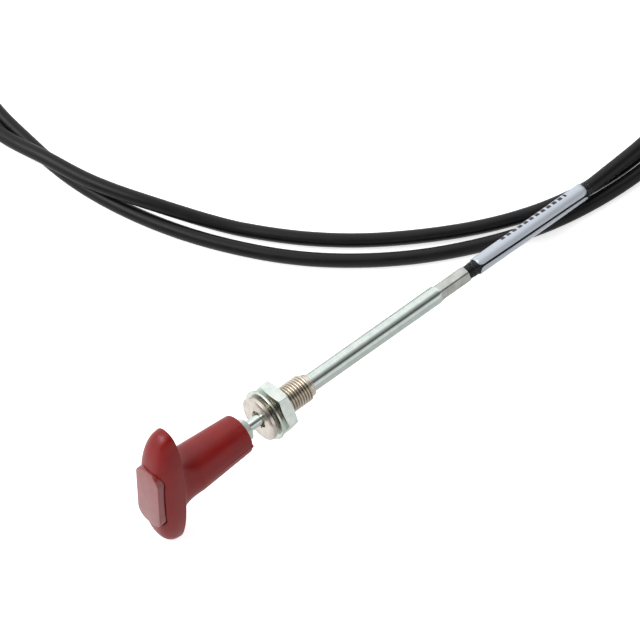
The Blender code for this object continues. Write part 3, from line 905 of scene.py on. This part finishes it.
@dataclass
class PanelFixing:
    """Turned bushing with its thread, panel washer and panel nut."""

    head_face: float = 55.1
    head_radius: float = 11.5
    head_length: float = 2.0
    thread_radius: float = 7.0
    thread_end: float = 83.9
    pitch: float = 1.5
    depth: float = 0.8
    nose_radius: float = 5.8
    nose_length: float = 2.3
    mouth_radius: float = 4.4
    mouth_depth: float = 4.0
    rod_bore: float = 3.1
    tube_bore: float = 4.85
    socket: float = 72.0
    washer_face: float = 58.6
    washer_radius: float = 13.2
    washer_thick: float = 1.0
    nut: HexNut = field(default_factory=lambda: HexNut(62.0, 6.6, 24.0, -11.6, 7.3, 0.9))

    def thread_at(self, x: float, radius: float, turn: float) -> float:
        """Radius of the right-hand thread at a point, easing out at both ends."""
        first, last = self.head_face + self.head_length + 0.6, self.thread_end - 0.4
        if not (first < x < last and radius > self.thread_radius - 0.05):
            return radius
        phase = (x / self.pitch - turn / (2.0 * pi)) % 1.0
        flank = abs(2.0 * phase - 1.0)
        crest = min(1.0, max(0.0, (flank - 0.12) / 0.72))
        ease = min(1.0, (x - first) / 1.0, (last - x) / 0.9)
        return radius - self.depth * (1.0 - crest) * max(0.0, ease)

    def collar(self) -> Piece:
        """The bushing's head, turned with fine rings and staked at its mouth."""
        back = self.head_face + self.head_length
        bm = spun([(self.head_face + self.mouth_depth, self.rod_bore),
                   (self.head_face + self.mouth_depth, self.mouth_radius),
                   (self.head_face + 0.35, self.mouth_radius),
                   (self.head_face, self.mouth_radius + 0.35),
                   (self.head_face, self.head_radius - 0.45),
                   (self.head_face + 0.13, self.head_radius - 0.13),
                   (self.head_face + 0.45, self.head_radius),
                   (back - 0.3, self.head_radius), (back, self.head_radius - 0.3),
                   (back, self.thread_radius - 1.2),
                   (back + 3.0, self.thread_radius - 1.2), (back + 3.0, self.rod_bore)], 128)
        return place(bm, "bushing_head", AXIS, NICKEL, Slot.NICKEL, Body.CABLE, ["bushing"],
                     sharp=28.0)

    def thread(self) -> Piece:
        """The threaded sleeve: a turned surface pushed in along a helix."""
        start = self.head_face + self.head_length + 0.02
        rows = int((self.thread_end - 0.8 - start) / (self.pitch / 10.0))
        surface = [(start + (self.thread_end - 0.8 - start) * k / rows, self.thread_radius)
                   for k in range(rows + 1)]
        tail = self.thread_end + self.nose_length
        profile = [(start, self.thread_radius - 1.1)] + surface + [
            (self.thread_end - 0.1, self.thread_radius - 0.75),
            (self.thread_end, self.thread_radius - 0.9), (self.thread_end, self.nose_radius),
            (tail - 0.4, self.nose_radius), (tail, self.nose_radius - 0.4),
            (tail, self.tube_bore), (self.socket, self.tube_bore),
            (self.socket, self.thread_radius - 1.1)]
        bm = spun(profile, 96)
        reshape(bm, self.thread_at)
        return place(bm, "bushing_thread", AXIS, THREAD_NICKEL, Slot.NICKEL, Body.CABLE, (),
                     sharp=60.0)

    def stakes(self) -> Piece:
        """Two bright punch marks beside the mouth, raised where the metal was pushed in."""
        bm = bmesh.new()
        for angle in (-3.5, -117.0):
            turn = radians(angle)
            spot = Matrix.Translation((self.head_face, (self.mouth_radius + 0.5) * cos(turn),
                                       (self.mouth_radius + 0.5) * sin(turn)))
            made = bmesh.ops.create_icosphere(bm, subdivisions=3, radius=0.65)
            bmesh.ops.scale(bm, vec=(0.35, 1.0, 1.0), verts=made["verts"])
            bmesh.ops.transform(bm, matrix=spot, verts=made["verts"])
        return place(bm, "stake_marks", AXIS, NUT_ZINC, Slot.NICKEL, Body.CABLE)

    def washer(self) -> Piece:
        """The stamped washer, rounded where the punch drew the edge."""
        end = self.washer_face + self.washer_thick
        bm = spun([(self.washer_face, self.thread_radius + 0.3),
                   (self.washer_face, self.washer_radius), (end, self.washer_radius),
                   (end, self.thread_radius + 0.3)], 128)
        soften(bm, 0.2, 3)
        return place(bm, "plated_washer", AXIS, NUT_ZINC, Slot.ZINC, Body.WASHER,
                     ["panel_washer"])

    def build(self) -> None:
        """Make the fixing's pieces."""
        self.collar()
        self.thread()
        self.stakes()
        self.washer()
        place(self.nut.shape(), "chamfered_panel_nut", AXIS, NUT_ZINC, Slot.ZINC, Body.NUT,
              ["panel_nut"], sharp=20.0)
        dress("rod_seal", RUBBER)


@dataclass
class GuideTube:
    """Drawn steel tube, necked and pressed to a hexagon on the conduit."""

    start: float = 72.3
    radius: float = 4.55
    bore: float = 3.7
    neck: float = 165.6
    neck_length: float = 2.6
    flats: float = 7.7
    end: float = 184.7
    conduit: float = 3.55
    first_corner: float = 56.0
    across_corners: float = 1.09

    def press(self, x: float, radius: float, turn: float) -> float:
        """Radius after the dies closed, blending from the round tube over the neck."""
        if x < self.neck or radius < self.bore + 0.02:
            return radius
        share = min(1.0, (x - self.neck) / self.neck_length)
        share = share * share * (3.0 - 2.0 * share)
        pressed = hex_radius(turn, self.flats, self.first_corner,
                             self.flats * self.across_corners)
        return radius + (min(radius, pressed) - radius) * share

    def build(self) -> None:
        """Make the tube."""
        necks = [(self.neck + self.neck_length * k / 6.0, self.radius) for k in range(7)]
        pressed = [(self.neck + self.neck_length + 0.4 + k * 3.6, self.radius) for k in range(4)]
        bm = spun([(self.start, self.bore), (self.start, self.radius)] + necks + pressed + [
            (self.end - 0.25, self.radius), (self.end, self.radius - 0.15),
            (self.end, self.conduit), (self.neck + 3.0, self.conduit), (self.neck, self.bore)],
            96)
        reshape(bm, self.press)
        split = self.neck + self.neck_length * 0.5
        bmesh.ops.recalc_face_normals(bm, faces=bm.faces)
        made = place(bm, "drawn_guide_tube", AXIS, TUBE_ZINC, Slot.ZINC, Body.CABLE,
                     ["guide_tube"], sharp=24.0)
        made.data.materials.append(CRIMP_ZINC.material())
        back = (Matrix.Scale(MM, 4) @ AXIS).inverted()
        for face in made.data.polygons:
            if (back @ face.center).x > split:
                face.material_index = 1


# ---------------------------------------------------------------- cable

@dataclass
class CableRoute:
    """Line of the conduit: straight out of the crimp, two loops on the table, straight end."""

    crimp_end: float = 184.7
    straight_end: float = 266.6
    radius: float = 3.5
    pitch: float = 7.6
    right_centre: Span = (298.0, 77.0)
    right_radius: float = 68.0
    left_centre: Span = (143.5, 217.0)
    left_radius: float = 64.0
    tie_angle: float = 18.0
    end_start: float = 4.4
    end_straight: float = 95.0
    lip: float = 3.0

    @property
    def lie(self) -> float:
        """Height of a strand's centre on the table."""
        return self.radius + 0.3

    @property
    def over(self) -> float:
        """Height of a strand that crosses another."""
        return self.lie + 2.0 * self.radius + 0.3

    @property
    def tied(self) -> float:
        """Height of a strand inside the tie."""
        return self.lie + 2.3

    @property
    def far_angle(self) -> float:
        """Direction in degrees in which the straight far side faces."""
        return degrees(atan2(self.right_centre[0] - self.left_centre[0],
                                       self.left_centre[1] - self.right_centre[1]))

    def around(self, centre: Span, radius: float, turn: float,
               height: float) -> Point:
        """A point on a bend at an angle in degrees."""
        return (centre[0] + radius * cos(radians(turn)),
                centre[1] + radius * sin(radians(turn)), height)

    def far_point(self, share: float, track: float, height: float) -> Point:
        """A point of the far side, share 0 at the right bend and 1 at the left one."""
        radius = (self.right_radius + (self.left_radius - self.right_radius) * share
                  + self.pitch * track)
        (x, y), (left_x, left_y) = self.right_centre, self.left_centre
        return self.around((x + (left_x - x) * share, y + (left_y - y) * share), radius,
                           self.far_angle, height)

    def loops(self) -> list[Point]:
        """Knots of the loops in the table frame, in millimetres."""
        lie, over, tied, pitch = self.lie, self.over, self.tied, self.pitch
        home = TABLE.inverted() @ AXIS
        turns = [-82.0, -62.0, -42.0, -22.0, -2.0, self.tie_angle, 34.0]
        lefts = [self.far_angle, 75.0, 101.0, 127.0, 153.0, 177.0]

        def right(track: float) -> list[Point]:
            """The right bend, lifted a little inside the tie."""
            return [self.around(self.right_centre, self.right_radius + track, turn,
                                tied if turn == self.tie_angle else lie) for turn in turns]

        def far(*knots: Point) -> list[Point]:
            """Knots of the far side."""
            return [self.far_point(*knot) for knot in knots]

        def flat(*spots: Span) -> list[Point]:
            """Knots that lie on the table."""
            return [(x, y, lie) for x, y in spots]

        drop_in = [(pitch, over), (6.2, over), (3.4, 10.2), (0.8, 7.2), (-0.2, 4.6), (0.0, tied),
                   (0.0, lie)]
        return [
            tuple(home @ Vector((self.straight_end, 0, 0))), (282.0, 0.2, over - 0.1),
            *[self.around(self.right_centre, self.right_radius + track, turn, height)
              for turn, (track, height) in zip(turns, drop_in)],
            *far((0.0, 0.0, lie), (0.18, -0.05, lie + 4.0), (0.36, 0.2, over + 0.4),
                 (0.5, 0.5, over + 0.8), (0.64, 0.8, over + 0.4), (0.82, 1.05, lie + 4.0)),
            *[self.around(self.left_centre, self.left_radius + pitch, turn,
                          lie + 0.9 if turn > 170.0 else lie) for turn in lefts],
            (72.1, 206.0, 6.7), (74.4, 194.0, 9.2), (77.8, 182.0, 10.9), (83.2, 164.0, 11.4),
            (90.5, 147.0, 11.2), (99.0, 132.0, 10.2), (110.0, 115.5, 7.0),
            *flat((125.0, 94.5), (143.5, 72.0), (164.0, 52.5), (187.0, 35.5), (212.0, 20.5),
                  (240.0, 8.6), (268.0, 2.2)),
            *right(pitch),
            *far((0.0, 1.0, lie), (0.18, 1.05, lie), (0.36, 0.85, lie), (0.5, 0.5, lie),
                 (0.64, 0.15, lie), (0.82, -0.05, lie)),
            *[self.around(self.left_centre, self.left_radius, turn, lie) for turn in lefts],
            *flat((79.8, 198.0), (80.6, 182.0), (83.0, 165.0), (87.4, 148.0), (94.0, 130.0),
                  (103.0, 111.0), (118.5, 86.0), (136.0, 64.0), (156.5, 44.5), (179.5, 27.5),
                  (205.5, 13.0), (235.0, 1.2), (265.0, -5.2)),
            *right(2 * pitch),
            *far((0.0, 2.05, lie + 0.3), (0.06, 2.2, self.end_start))]

    def end_frame(self) -> Matrix:
        """Matrix of the straight far end, x along the cable, in the row frame."""
        return (TABLE @ Matrix.Translation(self.far_point(0.06, 2.2, self.end_start))
                @ Matrix.Rotation(radians(self.far_angle + 90.0), 4, "Z"))

    def smooth(self, points: list[Point], per_span: int) -> list[Vector]:
        """Points of a natural cubic spline by chord length, kept on the table.

        Args:
            points: the knots.
            per_span: new points for each span between two knots.

        Returns:
            The points, whose heights are never under a strand that lies on the table.
        """
        knots = np.array(points)
        spans = np.linalg.norm(np.diff(knots, axis=0), axis=1)
        rows = np.zeros((len(knots), len(knots)))
        right = np.zeros((len(knots), 3))
        rows[0, 0] = rows[-1, -1] = 1.0
        for i in range(1, len(knots) - 1):
            before, after = spans[i - 1], spans[i]
            rows[i, i - 1:i + 2] = before, 2.0 * (before + after), after
            right[i] = 6.0 * ((knots[i + 1] - knots[i]) / after
                              - (knots[i] - knots[i - 1]) / before)
        bend = np.linalg.solve(rows, right)
        made = []
        for i, span in enumerate(spans):
            for step in range(per_span):
                far = span * step / per_span
                near = span - far
                made.append((bend[i] * near ** 3 + bend[i + 1] * far ** 3) / (6.0 * span)
                            + (knots[i] / span - bend[i] * span / 6.0) * near
                            + (knots[i + 1] / span - bend[i + 1] * span / 6.0) * far)
        made.append(knots[-1])
        return [Vector((x, y, max(z, self.lie))) for x, y, z in made]

    def points(self) -> list[Vector]:
        """The whole centre line in the row frame, in millimetres."""
        along = [AXIS @ Vector((x, 0, 0)) for x in
                 np.linspace(self.crimp_end - 4.0, self.straight_end - 6.0, 24)]
        looped = [TABLE @ point for point in self.smooth(self.loops(), 8)]
        last = self.end_frame()
        stop = self.end_straight - self.lip
        tail = [last @ Vector((x, 0, 0)) for x in np.linspace(8.0, stop, 20)]
        return along + looped + tail


@dataclass
class Cable:
    """Conduit with its label, tie, far ferrule, wire and wire tip."""

    route: CableRoute = field(default_factory=CableRoute)
    label_start: float = 191.4
    label_end: float = 259.5
    label_radius: float = 4.3
    label_inner: float = 3.8
    film_lap: float = 3.1
    film_radii: Point = (3.56, 3.78, 3.86)
    slit: float = 17.0
    slit_turn: Span = (136.0, 17.0)
    sheet_corner: float = 2.4
    ferrule_radius: float = 4.2
    ferrule_length: float = 24.0
    wire_radius: float = 0.75
    wire_out: float = 72.0
    wire_in: float = 12.0
    wire_bore: float = 1.05
    lay_pitch: float = 7.0
    groove_depth: float = 0.35
    tip_radius: float = 1.5
    tip_length: float = 8.0
    tie_width: float = 6.0
    tie_room: float = 0.9
    tie_thick: float = 1.2

    def conduit(self) -> Piece:
        """The conduit as one curve from inside the crimp to inside the ferrule."""
        points = self.route.points()
        curve = bpy.data.curves.new("conduit_hose", "CURVE")
        curve.dimensions = "3D"
        curve.bevel_depth = self.route.radius * MM
        curve.bevel_resolution = 5
        curve.use_fill_caps = False
        spline = curve.splines.new("POLY")
        spline.points.add(len(points) - 1)
        for target, point in zip(spline.points, points):
            target.co = (point.x * MM, point.y * MM, point.z * MM, 1.0)
        spline.use_smooth = True
        curve.materials.append(PVC.material())
        made = linked("conduit_hose", curve)
        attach(made, Body.CABLE.value)
        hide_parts("conduit_start", "conduit", "conduit_end")
        log.info("conduit_hose: %d points, %.4f m long", len(points), self.length())
        return made

    def length(self) -> float:
        """Length of the conduit in metres."""
        points = self.route.points()
        return sum((b - a).length for a, b in zip(points, points[1:])) * MM

    def label(self) -> Piece:
        """The wrapped label: a sheet rolled up, open along a slightly helical slit."""
        across, along = 72, 40
        bm = bmesh.new()
        layer = bm.loops.layers.uv.new("sheet")
        bmesh.ops.create_grid(bm, x_segments=along, y_segments=across, size=0.5)
        for face in bm.faces:
            for loop in face.loops:
                loop[layer].uv = (loop.vert.co.x + 0.5, loop.vert.co.y + 0.5)
        gap, corner = radians(self.slit), self.sheet_corner
        length = self.label_end - self.label_start
        for vert in bm.verts:
            u, v = vert.co.x + 0.5, vert.co.y + 0.5
            # the corners of the sheet are rounded where it meets the slit
            edge = min(v, 1.0 - v) * 2.0 * pi * self.label_radius
            trim = corner - sqrt(max(0.0, corner ** 2 - (corner - edge) ** 2)) \
                if edge < corner else 0.0
            x = self.label_start + trim + u * (length - 2.0 * trim)
            turn = gap / 2 + v * (2.0 * pi - gap) + radians(
                self.slit_turn[0] + self.slit_turn[1] * u)
            vert.co = (x, self.label_radius * cos(turn), self.label_radius * sin(turn))
        bmesh.ops.recalc_face_normals(bm, faces=bm.faces)
        made = place(bm, "label_sheet", AXIS, LABEL, Slot.LABEL, Body.CABLE, ["label_wrap"])
        wall = made.modifiers.new("wall", "SOLIDIFY")
        wall.thickness = (self.label_radius - self.label_inner) * MM
        wall.offset = -1.0
        bake(made)
        return made

    def films(self) -> list[Piece]:
        """The clear film's two ends, which lap past the label on the conduit."""
        made = []
        inner, edge, outer = self.film_radii
        for name, start in (("film_lap_front", self.label_start - self.film_lap),
                            ("film_lap_rear", self.label_end + 0.1)):
            end = start + self.film_lap - 0.1
            bm = spun([(start, inner), (start, edge), (start + 0.1, outer), (end, outer),
                       (end, inner)], 64)
            made.append(place(bm, name, AXIS, FILM, Slot.LABEL, Body.CABLE))
        return made

    def tie(self) -> Piece:
        """The strap round the three strands, with rounded edges and a small clasp."""
        turn = radians(self.route.tie_angle)
        middle = self.route.right_radius + self.route.pitch
        home = (TABLE @ Matrix.Translation((
            self.route.right_centre[0] + middle * cos(turn),
            self.route.right_centre[1] + middle * sin(turn), self.route.tied))
            @ Matrix.Rotation(turn + pi / 2, 4, "Z"))
        room = self.route.radius + self.tie_room
        half = self.route.pitch + room
        strap = plate(-self.tie_width / 2, self.tie_width / 2, 2 * (room + self.tie_thick),
                      2 * (half + self.tie_thick), room)
        soften(strap, 0.3, 2)
        body = loose(strap, "strap")
        combine(body, loose(plate(-self.tie_width, self.tie_width, 2 * room, 2 * half,
                                  room - 0.1), "hole"), "DIFFERENCE")
        bm = taken(body)
        clasp = bmesh.ops.create_cube(bm, size=1.0)
        bmesh.ops.scale(bm, vec=(self.tie_width + 1.0, 5.0, 1.5), verts=clasp["verts"])
        bmesh.ops.translate(bm, verts=clasp["verts"],
                            vec=(0, 3.0, room + self.tie_thick + 0.35))
        edges = list({edge for vert in clasp["verts"] for edge in vert.link_edges})
        bevel(bm, edges, 0.4, 3)
        return place(bm, "rubber_strap", home, RUBBER, Slot.RUBBER, Body.CABLE, ["coil_tie"])

    def ferrule(self) -> Piece:
        """The far ferrule, rolled down on the conduit in two grooves."""
        home = self.route.end_frame()
        face = 0.3 + self.route.end_straight
        seat, radius = face - self.ferrule_length, self.ferrule_radius
        deep = -self.groove_depth
        grooves = [(first + x, d) for first in (5.0, 9.0)
                   for x, d in ((0.0, 0.0), (0.5, deep), (1.3, deep), (1.8, 0.0))]
        bm = spun([(seat, 3.6), (seat, radius - 0.35), (seat + 0.1, radius - 0.1),
                   (seat + 0.4, radius)] + [(seat + x, radius + d) for x, d in grooves] + [
                  (face - 0.4, radius), (face - 0.1, radius - 0.1), (face, radius - 0.4),
                  (face, self.wire_bore), (face - self.route.lip, self.wire_bore),
                  (face - self.route.lip, 3.6)], 64)
        finish = PlatedMetal("rolled_zinc", "#D3D9D8", "#BFC9CC", 0.22, rings_mm=0.3, bump=0.1,
                             place=home)
        return place(bm, "rolled_ferrule", home, finish, Slot.ZINC, Body.CABLE, ["end_ferrule"])

    def wire(self) -> list[Piece]:
        """The stranded end of the inner wire and its pressed tip."""
        home = self.route.end_frame()
        face = 0.3 + self.route.end_straight
        start, out = face - self.wire_in, face + self.wire_out
        rows = int((out - start) / 0.5)
        line = [(start + (out - start) * k / rows, self.wire_radius) for k in range(rows + 1)]
        bm = spun([(start, 0.0)] + line + [(out, 0.0)], 36)

        def lay(x: float, radius: float, turn: float) -> float:
            """Radius over six strands that wind about the core."""
            if radius < self.wire_radius - 0.01:
                return radius
            wave = abs(cos(3.0 * (turn - 2.0 * pi * x / self.lay_pitch)))
            return self.wire_radius * (0.80 + 0.20 * wave ** 0.6)

        reshape(bm, lay)
        steel = PlatedMetal("stranded_steel", "#B9BABC", "#9A9CA0", 0.26, place=home)
        strand = place(bm, "stranded_wire", home, steel, Slot.STEEL, Body.FAR_WIRE, ["end_wire"],
                       sharp=60.0)
        first = out - self.tip_length + 1.3
        end = out + 1.3
        radius, bore = self.tip_radius, self.wire_bore
        bm = spun([(first, bore), (first, radius - 0.15), (first + 0.15, radius),
                   (first + 2.4, radius), (first + 2.7, radius - 0.2),
                   (first + 4.3, radius - 0.2), (first + 4.6, radius), (end - 0.3, radius),
                   (end, radius - 0.3), (end, 0.0), (out + 0.3, 0.0), (out + 0.3, bore)], 48)
        tip = place(bm, "pressed_tip", home, steel, Slot.STEEL, Body.FAR_WIRE, ["wire_tip"])
        return [strand, tip]

    def build(self) -> None:
        hose = self.conduit()
        dress("conduit_liner", NYLON)
        riders = [self.label(), *self.films(), self.tie(), self.ferrule(), *self.wire()]
        self.length()


# ---------------------------------------------------------------- studio

@dataclass
class Studio:
    """Camera, white sweep, soft lights and the surroundings that the metal mirrors."""

    aim: Point = (0.12265, 0.0342, 0.0)
    azimuth: float = -41.03
    elevation: float = 61.5
    distance: float = 5.0
    lens: float = 594.6
    # grey of the walls by angle round the pull axis, 0 towards the camera
    walls: tuple[Span, ...] = (
        (-180, 0.9), (-100, 1.15), (-48, 1.2), (-34, 0.88), (-22, 0.52), (-8, 0.28), (2, 0.19),
        (8, 0.10), (17, 0.09), (24, 0.34), (35, 0.70), (50, 0.80), (62, 0.62), (68, 0.22),
        (75, 0.22), (82, 0.60), (115, 0.75), (180, 0.8))

    def view(self) -> tuple[Vector, Vector, Vector]:
        """Directions to the right, up and towards the camera."""
        turn, lift = radians(self.azimuth), radians(self.elevation)
        right = Vector((cos(turn), sin(turn), 0.0))
        ahead = Vector((-sin(turn), cos(turn), 0.0))
        towards = -ahead * cos(lift) + Vector((0, 0, sin(lift)))
        return right, towards.cross(right), towards

    def camera(self) -> None:
        """Place the camera at the product's viewing angle."""
        right, up, towards = self.view()
        lens = bpy.data.cameras.new("camera")
        lens.lens = self.lens
        lens.sensor_width = 36.0
        lens.clip_start, lens.clip_end = 0.05, 20.0
        made = linked("camera", lens)
        spot = TABLE.translation * MM + Vector(self.aim) + towards * self.distance
        made.matrix_world = Matrix.Translation(spot) @ Matrix(
            (right, up, towards)).transposed().to_4x4()
        bpy.context.scene.camera = made

    def floor(self) -> None:
        """The white sweep."""
        bm = bmesh.new()
        bmesh.ops.create_grid(bm, x_segments=1, y_segments=1, size=3.0)
        made = linked("sweep", meshed(bm, "sweep"))
        made.data.materials.append(PaleFloor().material())

    def softbox(self, name: str, spot: Vector, size: float, power: float, tint: str) -> None:
        """A square soft light aimed at the product."""
        lamp = bpy.data.lights.new(name, "AREA")
        lamp.size = size
        lamp.energy = power
        lamp.color = linear(tint)[:3]
        made = linked(name, lamp)
        aim = Vector((0.0, 0.0, 0.02)) - spot
        made.matrix_world = Matrix.Translation(spot) @ aim.to_track_quat("-Z", "Y").to_matrix(
            ).to_4x4()

    def surroundings(self) -> None:
        """World light that changes round the pull axis: white walls with dark gaps."""
        world = bpy.data.worlds.new("studio")
        bpy.context.scene.world = world
        world.use_nodes = True
        graph = Graph(world.node_tree)
        world.node_tree.nodes.clear()
        along = (AXIS.to_3x3() @ Vector((1.0, 0.0, 0.0))).normalized()
        _, _, towards = self.view()
        facing = (towards - along * towards.dot(along)).normalized()
        source = graph.node("TexCoord").outputs["Generated"]
        across, front = (graph.vector("DOT_PRODUCT", source, way).outputs["Value"]
                         for way in (along.cross(facing), facing))
        turn = graph.maths("ARCTAN2", across, front)
        ramp = graph.node("ValToRGB", None, {0: graph.remap(turn, (-pi, pi),
                                                            (0.0, 1.0))})
        stops = ramp.color_ramp.elements
        stops.remove(stops[1])
        for index, (angle, grey) in enumerate(self.walls):
            spot = (angle + 180.0) / 360.0
            stop = stops[0] if index == 0 else stops.new(spot)
            stop.position, stop.color = spot, (grey, grey, grey * 1.01, 1.0)
        walls = graph.node("Background", {"in:Strength": 1.0}, {0: ramp.outputs[0]})
        plain = graph.node("Background", {"in:Strength": 1.0, "in:Color": (1.0, 1.0, 1.0, 1.0)})
        mix = graph.node("MixShader", None, {
            0: graph.node("LightPath").outputs["Is Camera Ray"], 1: walls.outputs[0],
            2: plain.outputs[0]})
        graph.node("OutputWorld", None, {0: mix.outputs[0]})

    def build(self) -> None:
        """Set up the whole studio."""
        self.floor()
        right, up, towards = self.view()
        self.softbox("key", (-right * 0.75 + up * 0.5 + towards * 1.0), 0.9, 9.0, "#FFFFFF")
        self.softbox("fill", (right * 1.1 - up * 0.4 + towards * 0.8), 1.1, 0.4, "#FFFFFF")
        self.surroundings()
        scene = bpy.context.scene
        scene.view_settings.view_transform = "Standard"
        scene.view_settings.look = "None"
        scene.view_settings.exposure = 0.0


def main() -> None:
    """Build the product and its studio in order."""
    logging.basicConfig(level=logging.INFO, format="%(name)s %(message)s")
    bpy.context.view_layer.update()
    studio = Studio()
    studio.camera()
    Cable().build()
    TeeHandle().build()
    PullRod().build()
    PanelFixing().build()
    GuideTube().build()
    studio.build()


if __name__ == "__main__":
    main()
